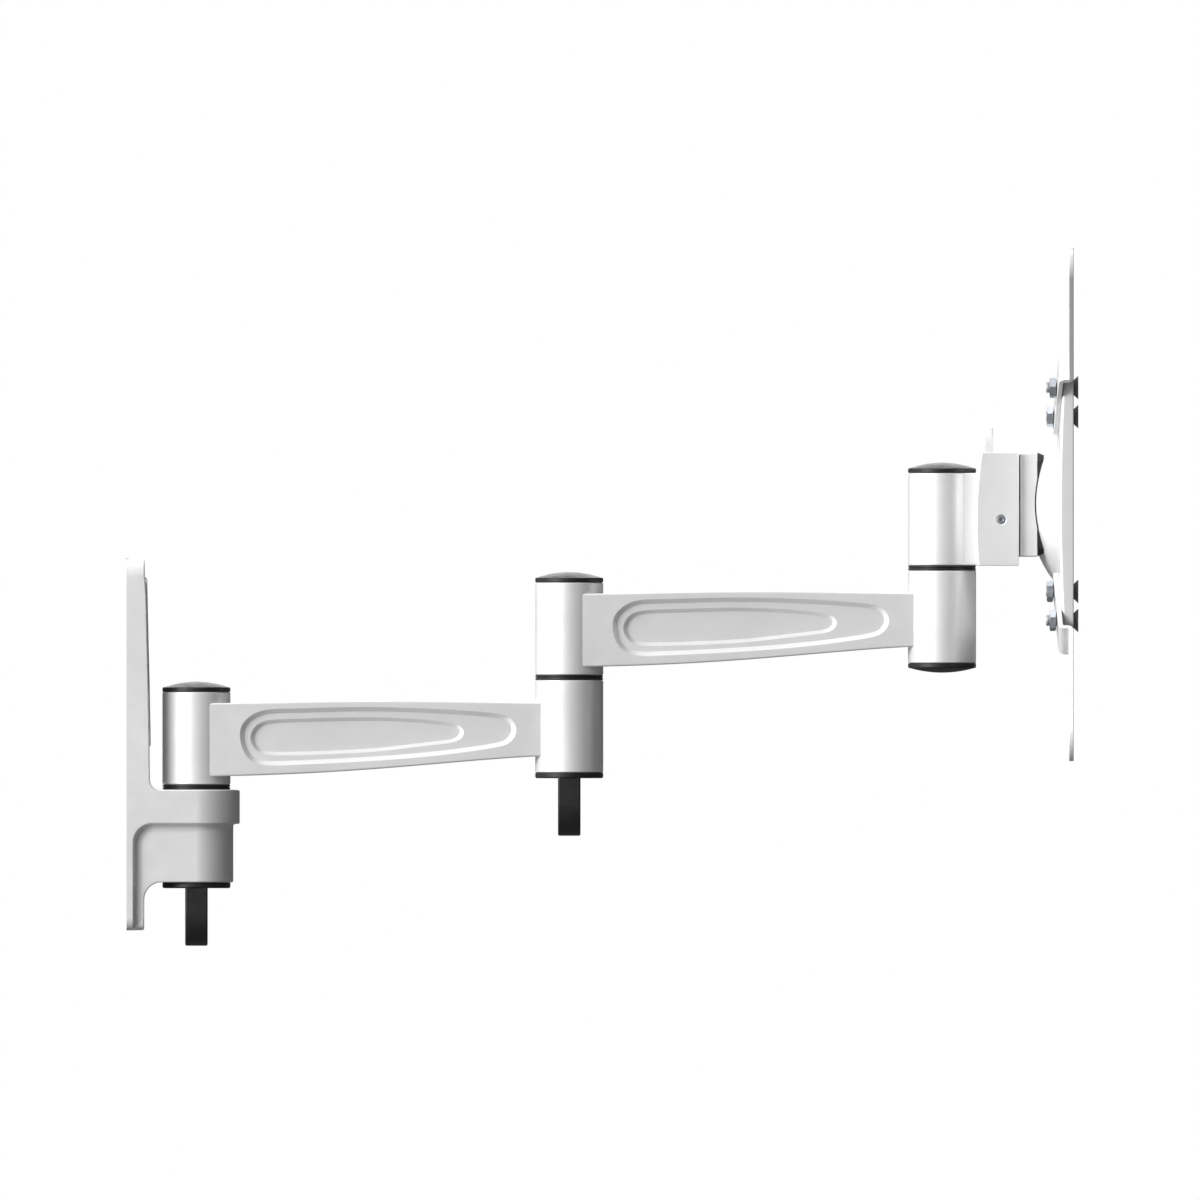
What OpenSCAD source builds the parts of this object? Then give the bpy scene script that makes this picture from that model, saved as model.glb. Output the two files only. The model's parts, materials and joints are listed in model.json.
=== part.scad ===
/* [Arms] */
// Distance between the pivot axes of one arm
arm_len = 160; // [120:5:240]
// Height of one pivot barrel
barrel_h = 39.6; // [34:0.2:50]
// Radius of every pivot barrel
barrel_r = 14.6; // [13.8:0.1:18]
// How much higher an arm's outer barrel stands than its inner barrel
arm_rise = 5.1; // [0:0.1:12]
// Half thickness of the beam where its line meets the inner axis
beam_half_in = 13.67; // [10:0.1:14]
// Half thickness of the beam where its line meets the outer axis
beam_half_out = 7.65; // [5:0.1:12]
// Depth of the outer step of the side recess
recess_1 = 1.8; // [0.5:0.1:3]
// Depth of the inner step of the side recess
recess_2 = 3.4; // [1:0.1:5]

/* [Pivots] */
// Height of the black friction ring under each moving barrel
ring_h = 2.3; // [1:0.1:4]
// Radius of the pivot shaft where the bushes turn on it
journal_r = 7; // [5:0.5:8]
// Running clearance between a bush and its shaft
run_gap = 0.05; // [0.02:0.01:0.1]
// Radius of the press section of the pivot shaft
press_r = 8; // [7:0.5:9]
// Radius of the nut pocket in a barrel
pocket_r = 12.2; // [11.5:0.1:12.6]
// Depth of the nut pocket in the top of a moving barrel
pocket_d = 12; // [11:0.5:14]

/* [Wall bracket] */
// Height of the wall bracket
wall_h = 160; // [140:5:220]
// Half width of the wall bracket, which is also the collar's radius
wall_half = 18.6; // [17:0.1:25]
// Distance from the wall to the first pivot axis
wall_to_axis = 30; // [28:1:45]
// Height of the first moving barrel's lower end above the bracket's middle
base_z = -17.3; // [-20:0.1:0]
// Radius of the two wall screw holes
wall_hole_r = 3.25; // [2.5:0.25:4]
// Height of the upper wall screw hole
wall_hole_top = 60; // [50:1:65]
// Height of the lower wall screw hole, in the foot
wall_hole_foot = -73; // [-74:0.5:-70]

/* [Head] */
// Height of the middle of the screen plate above the bracket's middle
head_z = 103; // [95:0.5:110]
// Half width of the cradle
cradle_half = 22.5; // [20:0.5:26]
// Half width of the carriage that hangs in the cradle
carriage_half = 19.4; // [17:0.2:21]
// Radius of the spherical dome behind the screen plate
dome_r = 55.4; // [50:0.2:60]
// Wall thickness of the dome
dome_t = 3; // [2:0.5:4]

/* [Screen plate] */
// Half width of the square screen plate
plate_half = 57; // [54:0.5:58]
// Hole spacing of the inner screw pattern
vesa_in = 75; // [75:75:75]
// Hole spacing of the middle screw pattern
vesa_mid = 100; // [100:100:100]
// Hole spacing of the outer screw pattern on the adaptor arms
vesa_out = 200; // [150:50:200]
// Thickness of the adaptor arms' sheet
sheet_t = 2; // [1.5:0.5:3]
// Width of an adaptor arm
sheet_w = 16; // [14:1:20]

/* [Hidden] */
$fn = 96;

// the three pivot axes, and the lower end of the barrel that turns on each
x1 = wall_to_axis;
x2 = x1 + arm_len;
x3 = x2 + arm_len;
z1 = base_z;
arm_step = arm_rise + barrel_h + ring_h;
z2 = z1 + arm_step;
z3 = z2 + arm_step;
collar_z = z1 - ring_h;
boss_z = collar_z - 39.8;

// the centre of the dome's sphere, on the tilt axis
tilt_x = x3 + 92.3;
front_x = tilt_x - 35.8;
cup_gap = 0.1;
cup_t = 0.5;
rim_r = 26.7;

// cradle and carriage, from the wall outwards
cradle_back = x3 + 14.1;
cradle_front = x3 + 33;
slot_back = x3 + 22;
slot_front = x3 + 28.8;
block_back = x3 + 33.5;
block_front = x3 + 40.9;
cradle_bottom = head_z - 26.5;
cradle_top = head_z + 22.1;
seat_z = head_z - 22.7;

silver = [0.80, 0.80, 0.81];
bright = [0.86, 0.86, 0.86];
black = [0.07, 0.07, 0.075];
zinc = [0.62, 0.66, 0.70];
steel = [0.66, 0.66, 0.67];
bronze = [0.72, 0.60, 0.36];

// points on an arc about c, from angle a to angle b
function arc(c, r, a, b, n = 10) = [for (i = [0:n]) c + r * [cos(a + (b - a) * i / n), sin(a + (b - a) * i / n)]];

// a smooth closed curve through a ring of points
function blend(a, b, c, d, t) =
    0.5 * ((2 * b) + (c - a) * t + (2 * a - 5 * b + 4 * c - d) * t * t + (3 * b - a - 3 * c + d) * t * t * t);
function closed_curve(p, n = 4) = let (m = len(p))
    [for (i = [0:m - 1]) for (k = [0:n - 1]) blend(p[(i + m - 1) % m], p[i], p[(i + 1) % m], p[(i + 2) % m], k / n)];

// lays a drawing of the side (distance from the wall, height) out as a slab of half width w
module side_slab(w) { rotate([90, 0, 0]) linear_extrude(2 * w, center = true) children(); }

// a cylinder along +X
module rod_x(r, x0, x1, r2 = -1) { translate([x0, 0, 0]) rotate([0, 90, 0]) cylinder(h = x1 - x0, r1 = r, r2 = r2 < 0 ? r : r2); }

// ---- wall bracket ----

module wall_outline() {
    polygon(concat(
        [[0, -wall_h / 2], [3.1, -wall_h / 2]],
        arc([11.1, collar_z - 22.7], 8, 180, 90),
        [[x1, collar_z - 14.7], [x1, collar_z]],
        arc([14.4, collar_z + 4.3], 4.3, 270, 180),
        [[9.6, 19], [8.6, 62], [7.75, wall_h / 2 - 1.8]],
        arc([5.95, wall_h / 2 - 1.8], 1.8, 0, 90, 5),
        [[0, wall_h / 2]]
    ));
}

module foot_outline() {
    polygon(concat(
        [[0, -wall_h / 2], [7.6, -wall_h / 2]],
        arc([15, boss_z - 7.4], 7.4, 180, 90),
        [[x1, boss_z], [x1, collar_z - 14.7 + 0.01], [0, collar_z - 14.7 + 0.01]]
    ));
}

module wall_bracket() {
    color(silver) difference() {
        union() {
            intersection() {
                side_slab(wall_half) wall_outline();
                // rounded upper corners, and the foot's corners
                rotate([90, 0, 90]) linear_extrude(60) union() {
                    for (s = [-1, 1]) {
                        translate([s * (wall_half - 8), wall_h / 2 - 8]) circle(8);
                        translate([s * (wall_half - 5), -wall_h / 2 + 5]) circle(5);
                    }
                    translate([-wall_half, -wall_h / 2 + 5]) square([2 * wall_half, wall_h - 13]);
                    translate([-wall_half + 8, wall_h / 2 - 12]) square([2 * wall_half - 16, 12]);
                    translate([-wall_half + 5, -wall_h / 2]) square([2 * wall_half - 10, 12]);
                }
            }
            // collar that carries the first pivot
            translate([x1, 0, collar_z - 14.7]) cylinder(h = 14.7, r = wall_half);
            // narrower boss under the collar, and its rib down to the foot
            translate([x1, 0, boss_z]) cylinder(h = 25.2, r = 15.8);
            side_slab(15.8) foot_outline();
            // root fillets between the rib and the back flange
            for (s = [-1, 1]) scale([1, s, 1]) translate([3.1, 15.8, -wall_h / 2])
                linear_extrude(wall_h / 2 + collar_z - 22) difference() {
                    translate([-0.2, -0.2]) square(3);
                    translate([2.8, 2.8]) circle(2.8, $fn = 48);
                }
        }
        // bore of the fixed pivot shaft, and the mouth that takes its flange and the cable clip
        translate([x1, 0, boss_z - 1]) cylinder(h = 50, r = press_r + 0.02);
        translate([x1, 0, boss_z - 1]) cylinder(h = 11.4, r = pocket_r);
        // seat of the screw cover
        rotate([0, 90, 0]) translate([-35.2, 0, 6.9]) linear_extrude(12) union() {
            square([73 - 2 * 6, 26], center = true);
            square([73, 26 - 2 * 6], center = true);
            for (a = [-1, 1], b = [-1, 1]) translate([a * 30.5, b * 7]) circle(6);
        }
        // wall screw holes, the upper one with room for its head
        translate([0, 0, wall_hole_top]) rod_x(wall_hole_r, -1, 20);
        translate([0, 0, wall_hole_top]) rod_x(6.8, 4.4, 20);
        translate([0, 0, wall_hole_foot]) rod_x(wall_hole_r, -1, 20);
    }
}

// thin crowned cover that snaps over the upper wall screw
module wall_screw_cover() {
    color(bright) difference() {
        intersection() {
            rotate([0, 90, 0]) translate([-35.2, 0, 7]) linear_extrude(5) union() {
                square([72.8 - 2 * 5.9, 25.8], center = true);
                square([72.8, 25.8 - 2 * 5.9], center = true);
                for (a = [-1, 1], b = [-1, 1]) translate([a * 30.5, b * 7]) circle(5.9);
            }
            // its front follows the bracket's taper, half a millimetre proud
            side_slab(14) polygon([[6, 72], [8.95, 71.6], [9.1, 62], [10.1, 19], [10.5, -1.2], [6, -2]]);
        }
        // hollow back with room for the screw head
        translate([6, -10, 4]) cube([2.2, 20, 62.5]);
    }
}

// ---- arms ----

recess_outer = [[18.7, 2.8], [20.2, 9.2], [28.2, 14.3], [44.5, 15.2], [74, 15.8], [104.6, 14.9], [129.5, 12.9], [135.6, 10.2],
    [137.3, 6.2], [135.9, 2.4], [131.5, -0.7], [115.3, -3.4], [96, -5.6], [74, -7.3], [44.5, -8.8], [28.2, -8.9],
    [21.4, -5.2]];
recess_inner = [[23.1, 2.6], [24.9, 7.2], [30.2, 10], [44.5, 10.8], [74, 11.4], [96, 10.5], [110.5, 8.8], [114.1, 7.1],
    [114.8, 4.9], [113.4, 2.3], [109.5, 0.7], [96, -1], [74, -3.4], [44.5, -4.7], [29.2, -4.4], [24.6, -1.4]];

// side view of the beam: a level top that bows a little, and a belly that rises towards the outer pivot
module beam_outline() {
    k = arm_len / 160;
    polygon([for (p = [[0, 17.5], [10, 17.6], [28, 17.9], [45, 18.25], [62, 18.45], [79, 18.6], [96, 18.6], [113, 18.35],
        [130, 18], [148, 17.9], [160, 17.9], [160, -5], [144, -5.1], [130, -6.4], [113, -7.9], [96, -9.3], [79, -10.5],
        [62, -11.6], [45, -12.6], [28, -13.5], [18, -13.85], [0, -14]]) [p[0] * k, p[1]]]);
}

// cuts one stepped hollow in each side of the beam, square to its tapering face
module side_hollow(points, depth) {
    k = arm_len / 160;
    lean = atan((beam_half_in - beam_half_out) / arm_len);
    for (m = [0, 1]) mirror([0, m, 0]) translate([0, beam_half_in, 0]) rotate([0, 0, -lean])
        translate([0, -depth, 0]) rotate([90, 0, 0]) mirror([0, 0, 1]) linear_extrude(depth + 5)
            polygon([for (p = closed_curve(points)) [p[0] * k, p[1]]]);
}

// one arm, with its inner pivot axis on the origin and the inner barrel's lower end at z = 0
module arm() {
    difference() {
        union() {
            cylinder(h = barrel_h, r = barrel_r);
            translate([arm_len, 0, arm_rise]) cylinder(h = barrel_h, r = barrel_r);
            difference() {
                intersection() {
                    translate([0, 0, -z1]) side_slab(20) beam_outline();
                    linear_extrude(60) polygon([[0, -beam_half_in], [arm_len, -beam_half_out],
                        [arm_len, beam_half_out], [0, beam_half_in]]);
                }
                translate([0, 0, -z1]) side_hollow(recess_outer, recess_1);
                translate([0, 0, -z1]) side_hollow(recess_inner, recess_2);
            }
        }
        // inner barrel: bush bore, flange seat and nut pocket
        translate([0, 0, -1]) cylinder(h = barrel_h + 2, r = 8.6);
        translate([0, 0, -1]) cylinder(h = 2.6, r = 10.2);
        translate([0, 0, barrel_h - pocket_d]) cylinder(h = pocket_d + 1, r = pocket_r);
        // outer barrel: press bore, and the mouth for the shaft's flange and the cap
        translate([arm_len, 0, arm_rise - 1]) {
            cylinder(h = barrel_h + 2, r = press_r + 0.02);
            cylinder(h = 11.4, r = pocket_r);
        }
    }
}

module inner_arm() { color(silver) translate([x1, 0, z1]) arm(); }
module outer_arm() { color(silver) translate([x2, 0, z2]) arm(); }

// ---- pivot pieces, all given from the lower end of the moving barrel ----

// flanged shaft: pressed into the lower barrel, with a journal and a threaded end above it
module pivot_shaft(drop) {
    color(steel) {
        difference() {
            union() {
                translate([0, 0, -drop + 7.4]) cylinder(h = 3, r = 10.5);
                translate([0, 0, -drop + 7.4]) cylinder(h = drop - 7.4, r = press_r);
                cylinder(h = barrel_h - pocket_d + 1, r = journal_r);
                cylinder(h = barrel_h - 0.5, r = 5);
                translate([0, 0, barrel_h - 0.5]) cylinder(h = 0.8, r1 = 5, r2 = 4.2);
            }
            translate([0, 0, -drop + 6]) cylinder(h = 6, r = 4);
        }
    }
}

// ring with a groove around its rim
module friction_ring() {
    color(black) rotate_extrude() polygon([[press_r + 0.1, -ring_h], [barrel_r - 0.5, -ring_h], [barrel_r, -ring_h + 0.45],
        [barrel_r, -ring_h + 0.8], [barrel_r - 0.35, -ring_h + 1.15], [barrel_r, -ring_h + 1.5],
        [barrel_r, -0.45], [barrel_r - 0.5, 0], [press_r + 0.1, 0]]);
}

module bushes() {
    color(bronze) {
        rotate_extrude() polygon([[journal_r + run_gap, 0], [10.15, 0], [10.15, 1.55], [8.58, 1.6], [8.58, 12],
            [journal_r + run_gap, 12]]);
        translate([0, 0, barrel_h - pocket_d]) rotate_extrude() polygon([[journal_r + run_gap, -12], [8.58, -12],
            [8.58, 0], [11.2, 0], [11.2, 1.5], [journal_r + run_gap, 1.5]]);
    }
}

module thrust_washer() {
    color(steel) translate([0, 0, barrel_h - pocket_d + 1.5]) difference() {
        cylinder(h = 1.5, r = 11);
        translate([0, 0, -1]) cylinder(h = 4, r = 5.15);
    }
}

// two conical spring washers, rim to rim
module spring_washers() {
    color(steel) translate([0, 0, barrel_h - pocket_d + 3]) rotate_extrude() {
        polygon([[5.2, 0], [10, 0.3], [10, 1.3], [5.2, 1]]);
        polygon([[5.2, 1.6], [10, 1.3], [10, 2.3], [5.2, 2.6]]);
    }
}

module lock_nut() {
    color(zinc) translate([0, 0, barrel_h - pocket_d + 5.6]) difference() {
        cylinder(h = 5.8, r = 17 / 2 / cos(30), $fn = 6);
        translate([0, 0, -1]) cylinder(h = 8, r = 5.02);
    }
}

// domed cap with a skirt that pushes into the barrel's pocket
module domed_cap(rim = 2.1, rise = 2.4) {
    r = (13.9 * 13.9 + rise * rise) / (2 * rise);
    half = asin(13.9 / r);
    color(black) rotate_extrude() polygon(concat(
        [[11, -5], [pocket_r - 0.05, -5], [pocket_r - 0.05, 0], [barrel_r - 0.3, 0], [barrel_r, 0.4], [barrel_r, rim - 0.5],
            [14.3, rim - 0.05]],
        arc([0, rim + rise - r], r, 90 - half, 90, 12),
        [[0, rim + rise - 1.6], [8, rim + rise - 2.3], [11, 0]]
    ));
}

// flat cap with a skirt, and a loop under it for the cables that run along the arm
module cable_clip() {
    color(black) {
        difference() {
            rotate_extrude() polygon([[11, 5], [pocket_r - 0.05, 5], [pocket_r - 0.05, 0], [barrel_r - 0.3, 0], [barrel_r, -0.4],
                [barrel_r, -2.1], [barrel_r - 0.5, -2.5], [0, -2.5], [0, -0.3], [11, -0.3]]);
        }
        translate([-4.85, 0, -2.5]) rotate([90, 0, 90]) linear_extrude(9.7) difference() {
            union() {
                translate([0, -10.8]) circle(13.9);
                translate([-13.9, -10.8]) square([27.8, 10.8]);
            }
            translate([0, -10.8]) circle(10.9);
            translate([-10.9, -10.8]) square([21.8, 12]);
        }
    }
}

module base_pivot_shaft() { translate([x1, 0, z1]) pivot_shaft(z1 - boss_z); }
module elbow_pivot_shaft() { translate([x2, 0, z2]) pivot_shaft(barrel_h + ring_h); }
module wrist_pivot_shaft() { translate([x3, 0, z3]) pivot_shaft(barrel_h + ring_h); }
module base_friction_ring() { translate([x1, 0, z1]) friction_ring(); }
module elbow_friction_ring() { translate([x2, 0, z2]) friction_ring(); }
module wrist_friction_ring() { translate([x3, 0, z3]) friction_ring(); }
module base_bushes() { translate([x1, 0, z1]) bushes(); }
module elbow_bushes() { translate([x2, 0, z2]) bushes(); }
module wrist_bushes() { translate([x3, 0, z3]) bushes(); }
module base_thrust_washer() { translate([x1, 0, z1]) thrust_washer(); }
module elbow_thrust_washer() { translate([x2, 0, z2]) thrust_washer(); }
module wrist_thrust_washer() { translate([x3, 0, z3]) thrust_washer(); }
module base_spring_washers() { translate([x1, 0, z1]) spring_washers(); }
module elbow_spring_washers() { translate([x2, 0, z2]) spring_washers(); }
module wrist_spring_washers() { translate([x3, 0, z3]) spring_washers(); }
module base_lock_nut() { translate([x1, 0, z1]) lock_nut(); }
module elbow_lock_nut() { translate([x2, 0, z2]) rotate([0, 0, 17]) lock_nut(); }
module wrist_lock_nut() { translate([x3, 0, z3]) rotate([0, 0, 41]) lock_nut(); }
module base_top_cap() { translate([x1, 0, z1 + barrel_h]) domed_cap(); }
module elbow_top_cap() { translate([x2, 0, z2 + barrel_h]) domed_cap(); }
module wrist_top_cap() { translate([x3, 0, z3 + barrel_h]) domed_cap(); }
module base_cable_clip() { translate([x1, 0, boss_z]) cable_clip(); }
module elbow_cable_clip() { translate([x2, 0, z1 + arm_rise]) cable_clip(); }
module wrist_bottom_cap() { translate([x3, 0, z2 + arm_rise]) mirror([0, 0, 1]) domed_cap(2.2, 2); }

// ---- head ----

// side view of the cradle: a slightly bowed back, a straight front
module cradle_outline() {
    polygon(concat(
        [for (i = [0:12]) let (z = cradle_top - (cradle_top - cradle_bottom) * i / 12)
            [cradle_back + pow(z - head_z + 7.6, 2) / 400, z]],
        [[cradle_front, cradle_bottom], [cradle_front, cradle_top]]
    ));
}

module head_bracket() {
    color(silver) difference() {
        union() {
            translate([x3, 0, z3]) cylinder(h = barrel_h, r = barrel_r);
            translate([x3, -11.4, z3]) cube([18, 22.8, barrel_h]);
            side_slab(cradle_half) cradle_outline();
            // padlock lug
            translate([x3 + 17.8, 0, cradle_top + 3]) rotate([0, 90, 0]) cylinder(h = 4.1, r = 8);
            translate([x3 + 17.8, -8, cradle_top - 2]) cube([4.1, 16, 5]);
        }
        // bush bore, flange seat and nut pocket of the wrist pivot
        translate([x3, 0, z3 - 1]) {
            cylinder(h = barrel_h + 2, r = 8.6);
            cylinder(h = 2.6, r = 10.2);
        }
        translate([x3, 0, z3 + barrel_h - pocket_d]) cylinder(h = pocket_d + 1, r = pocket_r);
        // T slot, open at the top, that the carriage drops into
        translate([slot_back, -16.1, seat_z]) cube([slot_front - slot_back, 32.2, 60]);
        translate([slot_front - 1, -11, seat_z]) cube([10, 22, 60]);
        translate([x3 + 10, -40, cradle_top + 11.2]) cube([40, 80, 30]);
        // hole of the lug
        translate([0, 0, cradle_top + 4.5]) rod_x(3, x3 + 15, x3 + 25);
        // tapped hole of the lock screw
        translate([x3 + 25.4, -cradle_half - 1, 96.3]) rotate([-90, 0, 0]) cylinder(h = 8, r = 2, $fn = 48);
    }
}

// socket grub screw that pinches the carriage from the side
module lock_screw() {
    color(zinc) translate([x3 + 25.4, -cradle_half + 0.3, 96.3]) rotate([-90, 0, 0]) difference() {
        cylinder(h = 5.8, r = 1.98, $fn = 48);
        translate([0, 0, -1]) cylinder(h = 3, r = 1.15, $fn = 6);
    }
}

module carriage() {
    color(silver) difference() {
        union() {
            // tongue of the T, its neck, and the block in front
            translate([slot_back + 0.1, -16, seat_z]) cube([slot_front - slot_back - 0.2, 32, cradle_top - seat_z - 1]);
            translate([slot_front - 0.5, -10.9, seat_z]) cube([6, 21.8, cradle_top - seat_z - 1]);
            translate([block_back, -carriage_half, seat_z]) cube([block_front - block_back, 2 * carriage_half, cradle_top - seat_z]);
        }
        // spherical seat of the friction cup
        translate([tilt_x, 0, head_z]) sphere(r = dome_r + cup_gap + cup_t, $fn = 200);
        // bolt hole, and the pocket of its nut
        translate([0, 0, head_z]) rod_x(4.2, x3 + 20, x3 + 60);
        translate([slot_back - 1, 0, head_z]) rotate([0, 90, 0]) cylinder(h = 7.4, r = 13.2 / 2 / cos(30), $fn = 6);
    }
}

// thin black seat that the dome slides on, thicker at its rim
module friction_cup() {
    color(black) translate([0, 0, head_z]) difference() {
        union() {
            intersection() {
                translate([tilt_x, 0, 0]) sphere(r = dome_r + cup_gap + cup_t, $fn = 200);
                translate([x3 + 30, -carriage_half, -22.7]) cube([10.9, 2 * carriage_half, 44.8]);
            }
            intersection() {
                side_slab(carriage_half) polygon([[block_front, -22.3], [x3 + 44.6, -20.2], [x3 + 44.6, 20.2], [block_front, 22.1]]);
                linear_extrude(60, center = true) polygon([[block_front, -carriage_half], [x3 + 44.6, -carriage_half + 1.6],
                    [x3 + 44.6, carriage_half - 1.6], [block_front, carriage_half]]);
                // its corners are trimmed, so that they stay on the dome when the screen tilts
                rod_x(rim_r, block_front - 1, x3 + 60);
            }
        }
        translate([tilt_x, 0, 0]) sphere(r = dome_r + cup_gap, $fn = 200);
        rod_x(6.5, x3 + 30, x3 + 60);
    }
}

module head_nut() {
    color(zinc) translate([slot_back + 0.2, 0, head_z]) rotate([0, 90, 0]) difference() {
        cylinder(h = 6.1, r = 13 / 2 / cos(30), $fn = 6);
        translate([0, 0, -1]) cylinder(h = 9, r = 4.02);
    }
}

// button head bolt, put in from the front through the dome's slot
module head_bolt() {
    color(zinc) translate([0, 0, head_z]) difference() {
        union() {
            rod_x(4, slot_back + 0.2, x3 + 46.5);
            rod_x(7, x3 + 46.2, x3 + 48);
            rod_x(7, x3 + 48, x3 + 50.2, 4.6);
        }
        translate([x3 + 47.8, 0, 0]) rotate([0, 90, 0]) cylinder(h = 4, r = 5 / 2 / cos(30), $fn = 6);
    }
}

module head_spring_washers() {
    color(steel) translate([x3 + 43.6, 0, head_z]) rotate([0, 90, 0]) rotate_extrude() {
        polygon([[4.2, 0], [8.5, 0.3], [8.5, 1.3], [4.2, 1]]);
        polygon([[4.2, 1.6], [8.5, 1.3], [8.5, 2.3], [4.2, 2.6]]);
    }
}

// washer with a spherical face that runs inside the dome, and a key that fits the dome's slot
module guide_washer() {
    color(steel) translate([0, 0, head_z]) difference() {
        union() {
            intersection() {
                translate([tilt_x, 0, 0]) sphere(r = dome_r - dome_t - 0.1, $fn = 200);
                rod_x(13, x3 + 35, x3 + 43.6);
            }
            rod_x(4.95, x3 + 37.4, x3 + 43);
        }
        rod_x(4.15, x3 + 30, x3 + 60);
    }
}

// ---- screen plate ----

crown_x = front_x - 8;
crown_r = 890;
diag = sqrt(2) / 2;

module plate_square(h, grow = 0) {
    // rounded square, drawn in the plane of the screen
    linear_extrude(h) union() {
        square([2 * plate_half - 14 + 2 * grow, 2 * plate_half + 2 * grow], center = true);
        square([2 * plate_half + 2 * grow, 2 * plate_half - 14 + 2 * grow], center = true);
        for (a = [-1, 1], b = [-1, 1]) translate([a * (plate_half - 7), b * (plate_half - 7)]) circle(7 + grow);
    }
}

module screen_plate() {
    color(bright) translate([0, 0, head_z]) difference() {
        union() {
            intersection() {
                translate([crown_x - 1, 0, 0]) rotate([0, 90, 0]) plate_square(front_x - crown_x + 1);
                // gently crowned back
                rotate([0, 90, 0]) rotate_extrude() polygon(concat(
                    [for (i = [0:17]) [i * 5, crown_x + pow(i * 5, 2) / (2 * crown_r)]],
                    [[85, front_x], [0, front_x]]));
            }
            intersection() {
                translate([tilt_x, 0, 0]) sphere(r = dome_r, $fn = 200);
                rod_x(42, x3 + 30, crown_x + 3);
            }
        }
        // hollow of the dome, open to the front
        translate([tilt_x, 0, 0]) sphere(r = dome_r - dome_t, $fn = 200);
        // upright slot that lets the plate tilt past the bolt
        translate([x3 + 30, -5.05, -20]) cube([14, 10.1, 40]);
        // adaptor screw holes
        for (d = [vesa_in / 2, vesa_mid / 2], a = [-1, 1], b = [-1, 1]) translate([0, a * d, b * d]) {
            rod_x(2.75, x3 + 40, front_x + 1);
            rod_x(2.75, front_x - 0.595, front_x, 3.3);
        }
    }
}

// joggled sheet arm, drawn along +Z from the plate's middle
tip_s = vesa_out / 2 / diag + 3.3;
module adaptor() {
    lean = tan(4);
    touch = crown_x + 62 * 62 / (2 * crown_r);
    back = sheet_t / cos(4);
    color(silver) difference() {
        intersection() {
            side_slab(sheet_w) polygon([
                [touch - 18 * lean, 44], [touch + 19.4 * lean, 81.4], [front_x, 81.4], [front_x, 170],
                [front_x - sheet_t, 170], [front_x - sheet_t, 81.4 + sheet_t],
                [touch - back + (19.4 + sheet_t) * lean, 81.4 + sheet_t], [touch - back - 18 * lean, 44]]);
            union() {
                translate([0, 0, vesa_in / 2 / diag]) rod_x(sheet_w / 2, x3 + 30, front_x + 1);
                translate([0, 0, tip_s]) rod_x(sheet_w / 2, x3 + 30, front_x + 1);
                translate([x3 + 30, -sheet_w / 2, vesa_in / 2 / diag]) cube([60, sheet_w, tip_s - vesa_in / 2 / diag]);
            }
        }
        for (d = [vesa_in, vesa_mid]) translate([0, 0, d / 2 / diag]) rod_x(2.75, x3 + 30, front_x + 2);
        translate([0, 0, vesa_out / 2 / diag]) rod_x(3.25, x3 + 30, front_x + 2);
    }
}

module adaptor_arm_upper_left() { translate([0, 0, head_z]) rotate([45, 0, 0]) adaptor(); }
module adaptor_arm_upper_right() { translate([0, 0, head_z]) rotate([-45, 0, 0]) adaptor(); }
module adaptor_arm_lower_left() { translate([0, 0, head_z]) rotate([135, 0, 0]) adaptor(); }
module adaptor_arm_lower_right() { translate([0, 0, head_z]) rotate([-135, 0, 0]) adaptor(); }

// countersunk screws, standing a little proud of the plate
module adaptor_screws() {
    color(steel) for (d = [vesa_in / 2, vesa_mid / 2], a = [-1, 1], b = [-1, 1]) translate([0, a * d, head_z + b * d]) difference() {
        union() {
            rod_x(2.5, x3 + 44.6, front_x);
            rod_x(2.5, front_x - 0.865, front_x + 2, 5.15);
        }
        translate([front_x + 0.4, 0, 0]) rotate([0, 90, 0]) cylinder(h = 3, r = 3 / 2 / cos(30), $fn = 6);
    }
}

module adaptor_nuts() {
    touch = crown_x + 62 * 62 / (2 * crown_r) - sheet_t / cos(4);
    color(zinc) for (d = [vesa_in / 2, vesa_mid / 2], a = [-1, 1], b = [-1, 1]) {
        nut_front = touch + (d / diag - 4.65 - 62) * tan(4);
        translate([nut_front - 2.8, a * d, head_z + b * d]) rotate([0, 90, 0]) rotate([0, 0, 10 + 11 * a + 7 * b + d])
            difference() {
                cylinder(h = 2.8, r = 8 / 2 / cos(30), $fn = 6);
                translate([0, 0, -1]) cylinder(h = 5, r = 2.52);
            }
    }
}

wall_bracket();
wall_screw_cover();
base_pivot_shaft();
base_friction_ring();
base_thrust_washer();
base_spring_washers();
base_lock_nut();
base_cable_clip();
inner_arm();
base_bushes();
base_top_cap();
elbow_pivot_shaft();
elbow_friction_ring();
elbow_thrust_washer();
elbow_spring_washers();
elbow_lock_nut();
elbow_cable_clip();
outer_arm();
elbow_bushes();
elbow_top_cap();
wrist_pivot_shaft();
wrist_friction_ring();
wrist_thrust_washer();
wrist_spring_washers();
wrist_lock_nut();
wrist_bottom_cap();
head_bracket();
wrist_bushes();
wrist_top_cap();
lock_screw();
carriage();
friction_cup();
head_nut();
head_bolt();
head_spring_washers();
guide_washer();
screen_plate();
adaptor_arm_upper_left();
adaptor_arm_upper_right();
adaptor_arm_lower_left();
adaptor_arm_lower_right();
adaptor_screws();
adaptor_nuts();
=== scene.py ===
import json
import math

import bmesh
import bpy
import numpy as np
from mathutils import Matrix, Vector
from mathutils.geometry import tessellate_polygon

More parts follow.
